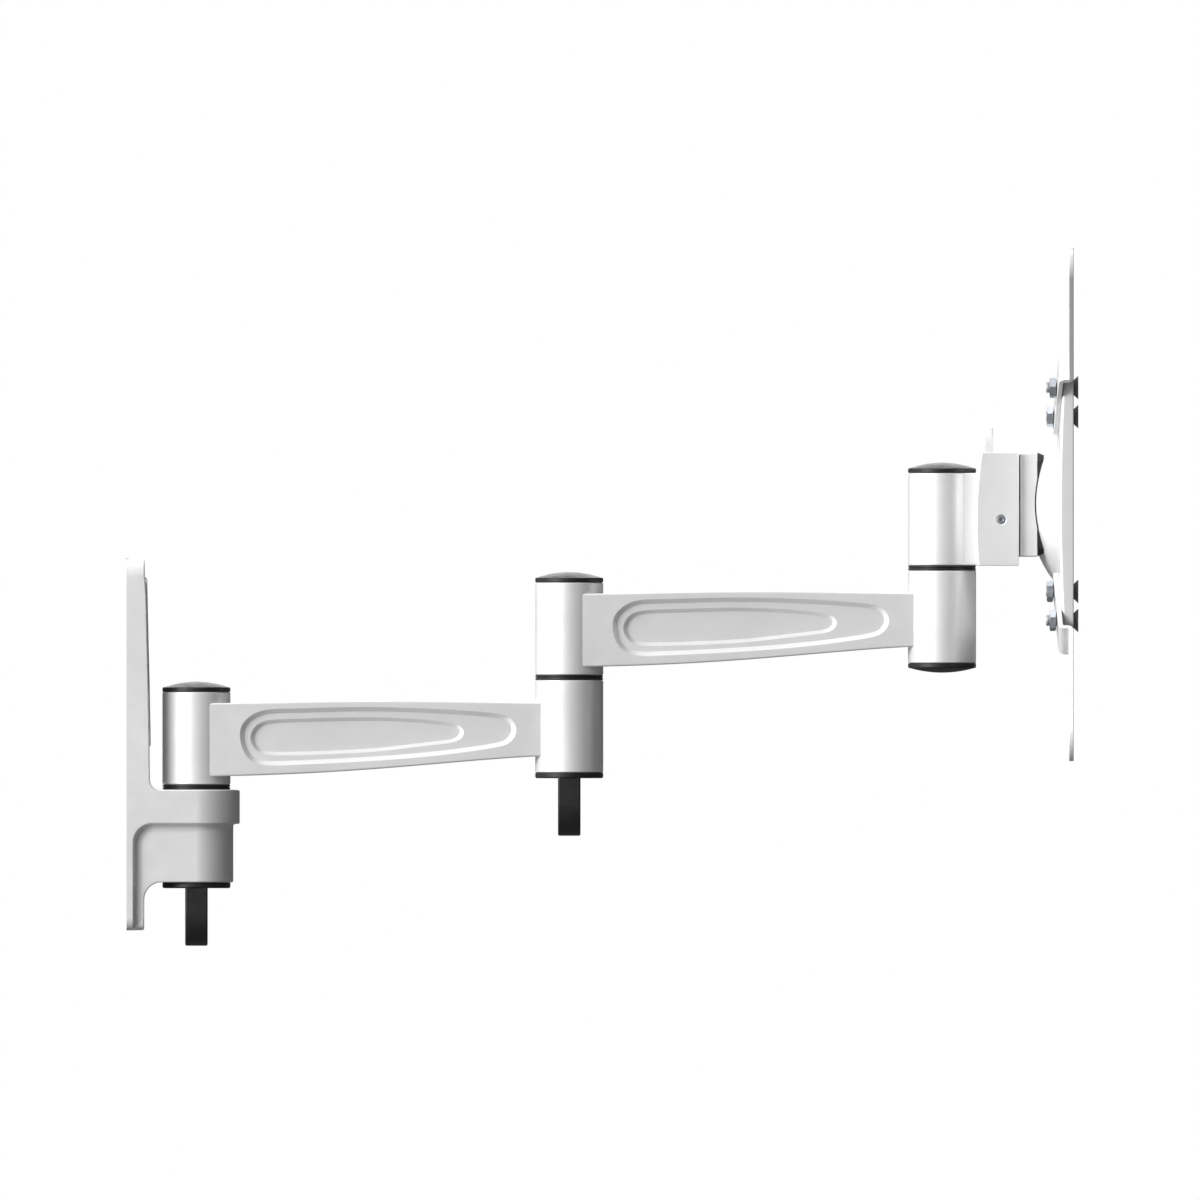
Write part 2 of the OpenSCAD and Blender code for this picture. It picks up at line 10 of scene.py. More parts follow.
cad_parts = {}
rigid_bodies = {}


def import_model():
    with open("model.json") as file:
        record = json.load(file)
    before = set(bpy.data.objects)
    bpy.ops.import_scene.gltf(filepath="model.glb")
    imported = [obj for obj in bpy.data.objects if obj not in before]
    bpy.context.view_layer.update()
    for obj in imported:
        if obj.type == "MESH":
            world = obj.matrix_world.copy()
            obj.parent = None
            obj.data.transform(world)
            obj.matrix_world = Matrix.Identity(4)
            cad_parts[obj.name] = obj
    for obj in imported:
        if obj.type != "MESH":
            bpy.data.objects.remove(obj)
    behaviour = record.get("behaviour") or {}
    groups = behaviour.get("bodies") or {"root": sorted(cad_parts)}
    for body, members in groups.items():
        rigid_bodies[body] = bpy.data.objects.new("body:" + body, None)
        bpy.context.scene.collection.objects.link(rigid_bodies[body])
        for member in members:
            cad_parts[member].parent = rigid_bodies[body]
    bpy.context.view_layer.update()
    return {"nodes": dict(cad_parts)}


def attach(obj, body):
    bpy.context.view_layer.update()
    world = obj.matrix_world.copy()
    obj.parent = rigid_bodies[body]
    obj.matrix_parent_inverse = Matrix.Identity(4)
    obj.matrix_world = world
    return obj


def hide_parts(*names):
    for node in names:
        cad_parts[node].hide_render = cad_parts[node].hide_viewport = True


for o in list(bpy.data.objects):
    bpy.data.objects.remove(o)
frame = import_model()
scene = bpy.context.scene

# ---------------------------------------------------------------- sizes, in millimetres, as in the CAD source
X1, X2, X3 = 30.0, 190.0, 350.0
BARREL_H, BARREL_R, RISE, RING_H = 39.6, 14.6, 5.1, 2.3
Z1 = -17.3
STEP = RISE + BARREL_H + RING_H
Z2, Z3 = Z1 + STEP, Z1 + 2 * STEP
COLLAR_Z = Z1 - RING_H
BOSS_Z = COLLAR_Z - 39.8
WALL_HALF, WALL_H = 18.6, 160.0
HEAD_Z = 103.0
TILT_X = X3 + 92.3
FRONT_X = TILT_X - 35.8
DOME_R, DOME_T = 55.4, 3.0
CRADLE_BACK, CRADLE_FRONT = X3 + 14.1, X3 + 33
SLOT_BACK, SLOT_FRONT = X3 + 22, X3 + 28.8
BLOCK_BACK, BLOCK_FRONT = X3 + 33.5, X3 + 40.9
CRADLE_BOTTOM, CRADLE_TOP, SEAT_Z = HEAD_Z - 26.5, HEAD_Z + 22.1, HEAD_Z - 22.7
CRADLE_HALF, CARRIAGE_HALF = 22.5, 19.4
CROWN_X, CROWN_R, PLATE_HALF = FRONT_X - 8, 890.0, 57.0
SHEET_T, SHEET_W = 2.0, 16.0
DIAG = math.sqrt(0.5)
HALF_IN, HALF_OUT, ARM = 13.67, 7.65, 160.0


# ---------------------------------------------------------------- drawing helpers


def arc(cx, cy, r, a, b, n=10):
    return [(cx + r * math.cos(math.radians(a + (b - a) * i / n)), cy + r * math.sin(math.radians(a + (b - a) * i / n))) for i in range(n + 1)]


def rounded(points, radii, seg=5, closed=False):
    """A polyline with its corners rounded, each by its own radius."""
    out, m = [], len(points)
    if not isinstance(radii, (list, tuple)):
        radii = [radii] * m
    for i, p in enumerate(points):
        r = radii[i]
        if r <= 0 or (not closed and i in (0, m - 1)):
            out.append(tuple(p))
            continue
        a, b, c = (Vector(points[i - 1]), Vector(p), Vector(points[(i + 1) % m]))
        u, v = (a - b), (c - b)
        lu, lv = u.length, v.length
        u, v = u / lu, v / lv
        angle = u.angle(v)
        if angle > math.pi - 1e-3:
            out.append(tuple(p))
            continue
        t = min(r / math.tan(angle / 2), lu * 0.499, lv * 0.499)
        r = t * math.tan(angle / 2)
        centre = b + (u + v).normalized() * (r / math.sin(angle / 2))
        s, e = (b + u * t) - centre, (b + v * t) - centre
        sweep = s.angle_signed(e)
        for k in range(seg + 1):
            w = -sweep * k / seg
            out.append((centre.x + s.x * math.cos(w) - s.y * math.sin(w), centre.y + s.x * math.sin(w) + s.y * math.cos(w)))
    return out


def inset(points, d, closed=True):
    """Moves each point of a ring inwards by d, square to its two edges. The ring runs anticlockwise."""
    p = np.array(points, float)
    a = np.roll(p, 1, axis=0)
    b = np.roll(p, -1, axis=0)
    if not closed:
        a[0], b[-1] = 2 * p[0] - p[1], 2 * p[-1] - p[-2]
    e1, e2 = p - a, b - p
    e1 /= np.maximum(np.linalg.norm(e1, axis=1, keepdims=True), 1e-9)
    e2 /= np.maximum(np.linalg.norm(e2, axis=1, keepdims=True), 1e-9)
    n1 = np.stack([-e1[:, 1], e1[:, 0]], 1)
    n2 = np.stack([-e2[:, 1], e2[:, 0]], 1)
    n = n1 + n2
    n /= np.maximum(np.linalg.norm(n, axis=1, keepdims=True), 1e-9)
    cos = np.maximum((n * n1).sum(1, keepdims=True), 0.35)
    return p + n * d / cos


def resample(points, n, closed=True):
    p = np.array(points, float)
    if closed:
        p = np.vstack([p, p[:1]])
    d = np.concatenate([[0], np.cumsum(np.linalg.norm(np.diff(p, axis=0), axis=1))])
    t = np.linspace(0, d[-1], n + 1)[:-1] if closed else np.linspace(0, d[-1], n)
    return np.stack([np.interp(t, d, p[:, k]) for k in range(p.shape[1])], 1)


def smooth_ring(points, n=300, passes=6):
    """A smooth closed curve through a ring of points."""
    p = np.array(points, float)
    m = len(p)
    out = []
    for i in range(m):
        a, b, c, d = p[i - 1], p[i], p[(i + 1) % m], p[(i + 2) % m]
        for k in range(14):
            t = k / 14
            out.append(0.5 * (2 * b + (c - a) * t + (2 * a - 5 * b + 4 * c - d) * t * t + (3 * b - a - 3 * c + d) * t**3))
    q = resample(out, n)
    for _ in range(passes):
        q = 0.5 * q + 0.25 * (np.roll(q, 1, axis=0) + np.roll(q, -1, axis=0))
    return resample(q, n)


# ---------------------------------------------------------------- mesh helpers; every mesh is made in millimetres


def loft(rings, caps=(True, True)):
    n = len(rings[0])
    v = [tuple(p) for r in rings for p in r]
    f = []
    for k in range(len(rings) - 1):
        for i in range(n):
            j = (i + 1) % n
            f.append((k * n + i, k * n + j, (k + 1) * n + j, (k + 1) * n + i))
    if caps[0]:
        f.append(tuple(reversed(range(n))))
    if caps[1]:
        f.append(tuple((len(rings) - 1) * n + i for i in range(n)))
    return v, f


def revolve(profile, n=128, ring=False, turn=0.0):
    """Turns a drawing of (radius, height) round the z axis."""
    v, idx, f = [], [], []
    for r, z in profile:
        if r < 1e-6:
            idx.append([len(v)] * n)
            v.append((0, 0, z))
        else:
            idx.append(list(range(len(v), len(v) + n)))
            v += [(r * math.cos(2 * math.pi * i / n + turn), r * math.sin(2 * math.pi * i / n + turn), z) for i in range(n)]
    m = len(profile)
    for k in range(m if ring else m - 1):
        a, b = idx[k], idx[(k + 1) % m]
        for i in range(n):
            j = (i + 1) % n
            face = []
            for q in (a[i], a[j], b[j], b[i]):
                if q not in face:
                    face.append(q)
            if len(face) > 2:
                f.append(tuple(face))
    return v, f


def prism(outline, z0, z1, r0=0.0, r1=0.0, seg=4):
    """An outline (anticlockwise) drawn in xy, carried from z0 to z1, with its end edges rounded."""
    rings = []
    if r0 > 0:
        for k in range(seg + 1):
            a = math.pi / 2 * k / seg
            q = inset(outline, r0 * (1 - math.sin(a)))
            rings.append([(x, y, z0 + r0 * (1 - math.cos(a))) for x, y in q])
    else:
        rings.append([(x, y, z0) for x, y in outline])
    if r1 > 0:
        for k in range(seg + 1):
            a = math.pi / 2 * (1 - k / seg)
            q = inset(outline, r1 * (1 - math.sin(a)))
            rings.append([(x, y, z1 - r1 * (1 - math.cos(a))) for x, y in q])
    else:
        rings.append([(x, y, z1) for x, y in outline])
    return loft(rings)


def box_outline(x0, x1, y0, y1, r, seg=5):
    return rounded([(x0, y0), (x1, y0), (x1, y1), (x0, y1)], r, seg, closed=True)


def slab(front, width, r=0.8, seg=4, back_x=0.0, back_r=0.0):
    """A casting drawn from the side: front is its edge (x, z) from the top down, back_x its flat back, and width(z) its half width.
    The edges where the sides meet the front are rounded by r."""
    fr = [tuple(p) for p in front]
    chain = [(back_x, fr[0][1])] + fr + [(back_x, fr[-1][1])]
    w = np.array([width(z) for _, z in fr])
    steps = []
    for k in range(seg + 1):
        a = math.pi / 2 * k / seg
        steps.append((r * (1 - math.sin(a)), r * (1 - math.cos(a))))
    n = len(fr)
    loops = []

    def loop(d, dy, side):
        # the chain runs top-down on the +x side, so the inside is on its right
        q = inset(chain, -d, closed=False)[1:-1]
        ring = [(q[i][0], side * (w[i] - dy), q[i][1]) for i in range(n)]
        ring += [(back_x, side * (w[i] - dy), q[i][1]) for i in reversed(range(n))]
        return ring

    for d, dy in steps:
        loops.append(loop(d, dy, -1))
    for d, dy in reversed(steps):
        loops.append(loop(d, dy, 1))
    v, f = loft(loops, caps=(False, False))
    last = (len(loops) - 1) * 2 * n
    for base, flip in ((0, False), (last, True)):
        for i in range(n - 1):
            q = (base + i, base + i + 1, base + 2 * n - 2 - i, base + 2 * n - 1 - i)
            f.append(q[::-1] if flip else q)
    return v, f


def placed(vf, origin=(0, 0, 0), axis="z", turn=0.0, flip=False):
    """Puts a shape made round z at origin, its z axis pointing along axis."""
    m = Matrix.Rotation(turn, 4, "Z")
    if flip:
        m = Matrix.Rotation(math.pi, 4, "X") @ m
    if axis == "x":
        m = Matrix(((0, 0, 1, 0), (1, 0, 0, 0), (0, 1, 0, 0), (0, 0, 0, 1))) @ m
    if axis == "y":
        m = Matrix(((0, 1, 0, 0), (0, 0, 1, 0), (1, 0, 0, 0), (0, 0, 0, 1))) @ m
    m = Matrix.Translation(origin) @ m
    return [tuple(m @ Vector(p)) for p in vf[0]], vf[1]


def mirrored(vf):
    return [(x, -y, z) for x, y, z in vf[0]], [tuple(reversed(f)) for f in vf[1]]


def solid(vf, name="tmp"):
    me = bpy.data.meshes.new(name)
    me.from_pydata([tuple(float(c) for c in p) for p in vf[0]], [], [list(f) for f in vf[1]])
    tidy(me)
    o = bpy.data.objects.new(name, me)
    scene.collection.objects.link(o)
    return o


def tidy(me, merge=2e-4):
    bm = bmesh.new()
    bm.from_mesh(me)
    bmesh.ops.remove_doubles(bm, verts=bm.verts, dist=merge)
    bmesh.ops.dissolve_degenerate(bm, edges=bm.edges, dist=merge)
    bmesh.ops.recalc_face_normals(bm, faces=bm.faces)
    bm.to_mesh(me)
    bm.free()
    me.update()


def measure(me):
    """(edges that don't join two faces, volume)"""
    bm = bmesh.new()
    bm.from_mesh(me)
    bad, volume = sum(not e.is_manifold for e in bm.edges), bm.calc_volume(signed=True)
    bm.free()
    return bad, volume


def believable(operation, a, b, r):
    if operation == "UNION":
        return max(a, b) - 0.5 <= r <= a + b + 0.5
    if operation == "DIFFERENCE":
        return a - b - 0.5 <= r <= a + 0.5
    return 0 < r <= min(a, b) + 0.5


def combine(o, others, operation):
    """Boolean of o with each of the others in turn. A result that isn't closed, or whose volume can't be right, is tried again with the
    tolerant solver, and then with the other solid moved by about a micrometre."""
    for b in others:
        a_volume, b_volume = measure(o.data)[1], measure(b.data)[1]
        best = None
        tries = [(False, False, 0), (False, True, 0), (True, False, 0), (True, True, 0), (False, False, 1), (False, False, -2), (False, True, 3)]
        for tolerant, own, nudge in tries:
            if nudge:
                b.data.transform(Matrix.Translation((0.0007 * nudge, 0.0009 * nudge, -0.0011 * nudge)))
            m = o.modifiers.new("cut", "BOOLEAN")
            m.object, m.operation, m.solver = b, operation, "EXACT"
            m.use_hole_tolerant, m.use_self = tolerant, own
            bpy.context.view_layer.update()
            dg = bpy.context.evaluated_depsgraph_get()
            me = bpy.data.meshes.new_from_object(o.evaluated_get(dg), depsgraph=dg)
            o.modifiers.clear()
            tidy(me)
            bad, volume = measure(me)
            score = bad + (0 if believable(operation, a_volume, b_volume, volume) else 100000)
            if best is None or score < best[0]:
                if best:
                    bpy.data.meshes.remove(best[1])
                best = (score, me)
            else:
                bpy.data.meshes.remove(me)
            if not best[0]:
                break
        if best[0]:
            print("BOOLEAN fault", best[0], operation, flush=True)
        old, o.data = o.data, best[1]
        bpy.data.meshes.remove(old)
        gone = b.data
        bpy.data.objects.remove(b)
        bpy.data.meshes.remove(gone)
    return o


def union(o, *others):
    return combine(o, others, "UNION")


def cut(o, *others):
    return combine(o, others, "DIFFERENCE")


def common(o, *others):
    return combine(o, others, "INTERSECT")


def joined(shapes):
    v, f = [], []
    for a, b in shapes:
        f += [tuple(i + len(v) for i in face) for face in b]
        v += list(a)
    return v, f


report = []


def piece(o, name, body, nodes, material, sharp=34, weighted=True):
    """Makes a finished millimetre mesh into a piece of the object."""
    bm = bmesh.new()
    bm.from_mesh(o.data)
    bmesh.ops.scale(bm, vec=(0.001, 0.001, 0.001), verts=bm.verts)
    open_edges = sum(not e.is_manifold for e in bm.edges)
    if sum(f.calc_area() for f in bm.faces) and bm.calc_volume(signed=True) < 0:
        bmesh.ops.reverse_faces(bm, faces=bm.faces)
    bm.to_mesh(o.data)
    report.append((name, len(bm.faces), open_edges))
    bm.free()
    o.name = o.data.name = name
    o.data.shade_smooth()
    o.data.set_sharp_from_angle(angle=math.radians(sharp))
    o.data.materials.clear()
    o.data.materials.append(material)
    if weighted:
        m = o.modifiers.new("normals", "WEIGHTED_NORMAL")
        m.mode, m.keep_sharp, m.weight = "FACE_AREA", True, 50
    if nodes:
        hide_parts(*nodes)
    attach(o, body)
    return o


# ---------------------------------------------------------------- materials


def nodes_of(name):
    m = bpy.data.materials.new(name)
    m.use_nodes = True
    t = m.node_tree
    b = t.nodes["Principled BSDF"]
    return m, t, b


def noise(t, scale, detail=2.0, rough=0.5, vector=None, distortion=0.0):
    n = t.nodes.new("ShaderNodeTexNoise")
    n.inputs["Scale"].default_value = scale
    n.inputs["Detail"].default_value = detail
    n.inputs["Roughness"].default_value = rough
    n.inputs["Distortion"].default_value = distortion
    c = vector
    if c is None:
        c = t.nodes.new("ShaderNodeTexCoord").outputs["Object"]
    t.links.new(c, n.inputs["Vector"])
    return n.outputs["Fac"]


def remap(t, value, a, b, lo=0.0, hi=1.0):
    n = t.nodes.new("ShaderNodeMapRange")
    n.inputs["From Min"].default_value = a
    n.inputs["From Max"].default_value = b
    n.inputs["To Min"].default_value = lo
    n.inputs["To Max"].default_value = hi
    t.links.new(value, n.inputs["Value"])
    return n.outputs["Result"]


def mix(t, fac, a, b):
    n = t.nodes.new("ShaderNodeMix")
    n.data_type = "RGBA"
    for s, v in ((n.inputs[0], fac), (n.inputs[6], a), (n.inputs[7], b)):
        if hasattr(v, "is_linked"):
            t.links.new(v, s)
        elif s.type == "RGBA":
            s.default_value = (*v, 1)
        else:
            s.default_value = v
    return n.outputs[2]


def math_node(t, op, a, b=None):
    n = t.nodes.new("ShaderNodeMath")
    n.operation = op
    for s, v in ((n.inputs[0], a), (n.inputs[1], b)):
        if v is None:
            continue
        if hasattr(v, "is_linked"):
            t.links.new(v, s)
        else:
            s.default_value = v
    return n.outputs[0]


def edge_mask(t, radius=0.0007, lo=0.02, hi=0.22):
    """1 along convex and concave edges: where a rounded normal leaves the true one."""
    bevel = t.nodes.new("ShaderNodeBevel")
    bevel.samples = 4
    bevel.inputs["Radius"].default_value = radius
    geo = t.nodes.new("ShaderNodeNewGeometry")
    dot = t.nodes.new("ShaderNodeVectorMath")
    dot.operation = "DOT_PRODUCT"
    t.links.new(bevel.outputs["Normal"], dot.inputs[0])
    t.links.new(geo.outputs["Normal"], dot.inputs[1])
    return remap(t, math_node(t, "SUBTRACT", 1.0, dot.outputs["Value"]), lo, hi)


def bump(t, b, height, strength, distance=0.0001):
    n = t.nodes.new("ShaderNodeBump")
    n.inputs["Strength"].default_value = strength
    n.inputs["Distance"].default_value = distance
    t.links.new(height, n.inputs["Height"])
    t.links.new(n.outputs["Normal"], b.inputs["Normal"])


def painted(name, low, high, rough, metallic=0.0, worn=(0.72, 0.72, 0.73), grain=1500.0, grain_strength=0.10, coat=0.0, edge=0.5):
    """Silver powder coat or satin paint on metal: a fine stipple, faint cloudiness, and slightly polished edges."""
    m, t, b = nodes_of(name)
    co = t.nodes.new("ShaderNodeTexCoord").outputs["Object"]
    cloud = noise(t, 28, 4, 0.55, co)
    fleck = noise(t, 5200, 1, 0.5, co)
    tone = mix(t, remap(t, cloud, 0.3, 0.7), low, high)
    tone = mix(t, remap(t, fleck, 0.62, 0.78, 0, 0.35), tone, tuple(min(1, c * 1.12) for c in high))
    wear = math_node(t, "MULTIPLY", edge_mask(t), remap(t, noise(t, 420, 3, 0.6, co), 0.42, 0.72, 0, edge))
    t.links.new(mix(t, wear, tone, worn), b.inputs["Base Color"])
    r = remap(t, noise(t, 140, 3, 0.6, co), 0.3, 0.7, rough - 0.04, rough + 0.05)
    t.links.new(math_node(t, "SUBTRACT", r, math_node(t, "MULTIPLY", wear, 0.1)), b.inputs["Roughness"])
    b.inputs["Metallic"].default_value = metallic
    b.inputs["Coat Weight"].default_value = coat
    b.inputs["Coat Roughness"].default_value = 0.25
    stipple = math_node(t, "ADD", noise(t, grain, 3, 0.6, co), math_node(t, "MULTIPLY", noise(t, grain / 6, 2, 0.5, co), 0.8))
    bump(t, b, stipple, grain_strength, 0.00012)
    return m


def plastic(name, low, high, rough, grain=2600.0, grain_strength=0.25):
    """Moulded black plastic with a fine spark-eroded grain and scuffed edges."""
    m, t, b = nodes_of(name)
    co = t.nodes.new("ShaderNodeTexCoord").outputs["Object"]
    tone = mix(t, remap(t, noise(t, 60, 3, 0.5, co), 0.3, 0.7), low, high)
    wear = math_node(t, "MULTIPLY", edge_mask(t, 0.0005), remap(t, noise(t, 700, 3, 0.6, co), 0.4, 0.7, 0, 0.5))
    t.links.new(mix(t, wear, tone, (0.075, 0.075, 0.078)), b.inputs["Base Color"])
    t.links.new(remap(t, noise(t, 260, 3, 0.6, co), 0.3, 0.7, rough - 0.05, rough + 0.07), b.inputs["Roughness"])
    bump(t, b, noise(t, grain, 2, 0.6, co), grain_strength, 0.00006)
    b.inputs["Specular IOR Level"].default_value = 0.36
    return m


def machined(name, low, high, rough, axis="z", lines=9000.0, tint=None, strength=0.12):
    """Turned, drawn or plated metal: fine tool lines across one axis, with stains of tint."""
    m, t, b = nodes_of(name)
    co = t.nodes.new("ShaderNodeTexCoord").outputs["Object"]
    stretch = t.nodes.new("ShaderNodeMapping")
    stretch.vector_type = "POINT"
    stretch.inputs["Scale"].default_value = {"z": (0.04, 0.04, 1), "x": (1, 0.04, 0.04), "y": (0.04, 1, 0.04)}[axis]
    t.links.new(co, stretch.inputs["Vector"])
    tone = mix(t, remap(t, noise(t, 300, 4, 0.6, co), 0.3, 0.7), low, high)
    if tint:
        tone = mix(t, remap(t, noise(t, 150, 3, 0.5, co), 0.45, 0.75, 0, 0.5), tone, tint)
    wear = math_node(t, "MULTIPLY", edge_mask(t, 0.0004), 0.5)
    t.links.new(mix(t, wear, tone, tuple(min(1, c * 1.15) for c in high)), b.inputs["Base Color"])
    t.links.new(remap(t, noise(t, 520, 3, 0.6, co), 0.3, 0.7, rough - 0.06, rough + 0.08), b.inputs["Roughness"])
    b.inputs["Metallic"].default_value = 1.0
    bump(t, b, noise(t, lines, 2, 0.5, stretch.outputs["Vector"]), strength, 0.00004)
    return m


CAST = painted("cast_silver_coat", (0.735, 0.735, 0.74), (0.775, 0.775, 0.778), 0.38, metallic=0.35, coat=0.15)
COVER = painted("cover_silver_coat", (0.76, 0.76, 0.765), (0.79, 0.79, 0.793), 0.34, metallic=0.35, grain=2400, grain_strength=0.06, coat=0.2)
PLATE = painted("plate_silver_coat", (0.76, 0.76, 0.765), (0.80, 0.80, 0.803), 0.34, metallic=0.3, grain=1900, grain_strength=0.07, coat=0.2)
SHEET = painted("sheet_silver_coat", (0.74, 0.74, 0.745), (0.78, 0.78, 0.783), 0.36, metallic=0.3, grain=1700, grain_strength=0.08, coat=0.15)
BLACK = plastic("black_moulding", (0.010, 0.010, 0.0106), (0.016, 0.016, 0.0168), 0.40)
ZINC = machined("zinc_plating", (0.48, 0.52, 0.56), (0.60, 0.63, 0.67), 0.33, axis="x", tint=(0.50, 0.56, 0.64))
DARK = machined("dark_screw_steel", (0.46, 0.46, 0.47), (0.56, 0.56, 0.57), 0.46, axis="x")
TURNED = machined("turned_shaft_steel", (0.50, 0.50, 0.51), (0.60, 0.60, 0.61), 0.24, axis="z")
SPRING = machined("spring_washer_steel", (0.36, 0.35, 0.34), (0.48, 0.47, 0.46), 0.32, axis="z", tint=(0.30, 0.27, 0.24))
BRONZE = machined("sintered_bronze", (0.50, 0.36, 0.19), (0.60, 0.45, 0.25), 0.42, axis="z", lines=4000, tint=(0.42, 0.30, 0.17))


# ---------------------------------------------------------------- wall bracket


def wall_bracket():
    zc = COLLAR_Z
    top = WALL_H / 2
    front = arc(5.95, top - 1.8, 1.8, 90, 0, 6)
    front += [(x, z) for x, z in ((7.9, 72), (8.2, 69), (8.6, 62), (8.98, 45), (9.35, 30), (9.6, 19), (9.82, 5), (10.0, -8))]
    front += arc(14.4, zc + 4.3, 4.3, 180, 270, 10)
    front += [(X1, zc), (X1, zc - 14.7)]
    front += arc(11.1, zc - 22.7, 8, 90, 180, 14)
    front += [(3.1, -60), (3.1, -75)]
    front += arc(2.3, -top + 0.8, 0.8, 0, -90, 3)[1:]
    extra = [top - 8 + 8 * math.sin(math.radians(a)) for a in range(0, 90, 10)] + [-75 - 5 * math.sin(math.radians(a)) for a in (10, 24, 38, 50)]
    front = with_heights(front, extra)

    def width(z):
        if z > top - 8:
            return WALL_HALF - 8 + math.sqrt(max(0, 64 - (z - top + 8) ** 2))
        if z < -75:
            return WALL_HALF - 5 + math.sqrt(max(0, 25 - (z + 75) ** 2))
        return WALL_HALF

    o = solid(slab(front, width, r=0.7, seg=4))
    # collar
    collar = solid(placed(revolve(rounded([(0, 0), (WALL_HALF - 0.003, 0), (WALL_HALF - 0.003, 14.694), (0, 14.694)], [0, 0.7, 0.7, 0], 5), 160), (X1, 0, zc - 14.697)))
    # rib and boss below it
    foot = [(X1 + 1.3, zc - 8), (X1 + 1.3, BOSS_Z)] + arc(15, BOSS_Z - 7.4, 7.4, 90, 180, 12) + [(7.6, -72)]
    foot += [(7.6, -78.6)] + arc(6.8, -79.14, 0.8, 0, -90, 3)
    foot = with_heights(foot, [-77, -77.4, -77.9, -78.3])

    def foot_width(z):
        return 15.8 - 3 + math.sqrt(max(0, 9 - (z + 77) ** 2)) if z < -77 else 15.8

    rib = solid(slab(foot, foot_width, r=0.6, seg=4, back_x=1.0))
    boss = solid(placed(revolve(rounded([(0, -0.02), (15.83, -0.02), (15.83, 30), (0, 30)], [0, 0.8, 0, 0], 6), 160), (X1, 0, BOSS_Z)))
    # one root fillet: up the flange, along under the collar, round the boss and down the other side
    zu = zc - 14.7

    def section(deep=4.2, wide=2.1):
        """Points (distance out from the flange's back, distance from the middle plane)."""
        wide, deep = max(wide, 0.05), max(deep, 0.05)
        q = [(2.6, 15.2), (3.1 + deep + 0.1, 15.2), (3.1 + deep + 0.1, 15.79)]
        q += [(3.1 + deep - deep * math.cos(math.radians(t)), 15.79 + wide - wide * math.sin(math.radians(t))) for t in range(90, -1, -10)]
        return q + [(2.6, 15.79 + wide)]

    half = []
    for z in (-79.3, -78.9, -78.2, -77.4, -76.5, -75, -70, -60, -50, zc - 22.7):
        wide = min(2.1, width(z) - 0.75 - 15.8)
        half.append([(d, y, z) for d, y in section(4.2 * min(1, max(0.2, wide / 2.1)), wide)])
    for k in range(1, 17):
        a = math.radians(180 - 90 * k / 16)
        half.append([(11.1 + (11.1 - d) * math.cos(a), y, zc - 22.7 + (11.1 - d) * math.sin(a)) for d, y in section()])
    for x in (16, 23):
        half.append([(x, y, zu - (d - 3.1)) for d, y in section()])
    turn = []
    for k in range(41):
        a = math.radians(-90 + 180 * k / 40)
        s = section(4.2 - 3.4 * math.cos(a) ** 2, 2.1 - 0.6 * math.cos(a) ** 2)
        turn.append([(X1 + y * math.cos(a), -y * math.sin(a), zu - (d - 3.1)) for d, y in s])
    rings = half + turn + [[(x, -y, z) for x, y, z in r] for r in reversed(half)]
    fillet = solid(loft(rings))
    o = union(o, collar, rib, boss, fillet)
    # bore, mouth, cover seat, screw holes
    bore = solid(placed(revolve([(0, -1), (12.2, -1), (12.2, 10.4), (8.02, 10.4), (8.02, 45), (0, 45)], 96), (X1, 0, BOSS_Z)))
    seat = solid(placed(prism(box_outline(-13, 13, -1.3, 71.7, 6, 8), 6.9, 12), axis="x"))
    h1 = solid(placed(revolve([(0, -1), (3.25, -1), (3.25, 4.4), (6.8, 4.4), (6.8, 12), (0, 12)], 64), (0, 0, 60), "x"))
    h2 = solid(placed(revolve([(0, -1), (3.25, -1), (3.25, 6.9), (4.0, 7.62), (4.0, 12), (0, 12)], 64), (0, 0, -73), "x"))
    o = cut(o, bore, seat, h1, h2)
    return piece(o, "Wall_Bracket", "wall_base", ["wall_bracket"], CAST)


def with_heights(front, heights):
    """Adds points to a top-down edge at the given heights, where the edge passes them."""
    out = [front[0]]
    for a, b in zip(front, front[1:]):
        mid = sorted((h for h in heights if b[1] + 1e-6 < h < a[1] - 1e-6), reverse=True)
        for h in mid:
            t = (a[1] - h) / (a[1] - b[1])
            out.append((a[0] + (b[0] - a[0]) * t, h))
        out.append(b)
    return out


def screw_cover():
    front = [(8.35, 71.6), (8.75, 71.35), (8.92, 70.8), (9.1, 62), (9.48, 45), (9.85, 30), (10.1, 19), (10.28, 9), (10.44, 0), (10.3, -0.75), (9.9, -1.2)]
    ends = [65.7 + 5.9 * math.sin(math.radians(a)) for a in range(0, 90, 9)] + [4.7 - 5.9 * math.sin(math.radians(a)) for a in range(0, 90, 9)]
    front = with_heights(front, ends)

    def width(z):
        c = 65.7 if z > 65.7 else 4.7
        return 12.9 - 5.9 + math.sqrt(max(0, 34.81 - (z - c) ** 2)) if z > 65.7 or z < 4.7 else 12.9

    o = solid(slab(front, width, r=0.45, seg=4, back_x=7.0))
    hollow = solid(placed(prism(box_outline(-10, 10, 4, 66.5, 3, 5), 6, 8.2), axis="x"))
    return piece(cut(o, hollow), "Wall_Screw_Cover", "wall_base", ["wall_screw_cover"], COVER)


# ---------------------------------------------------------------- arms

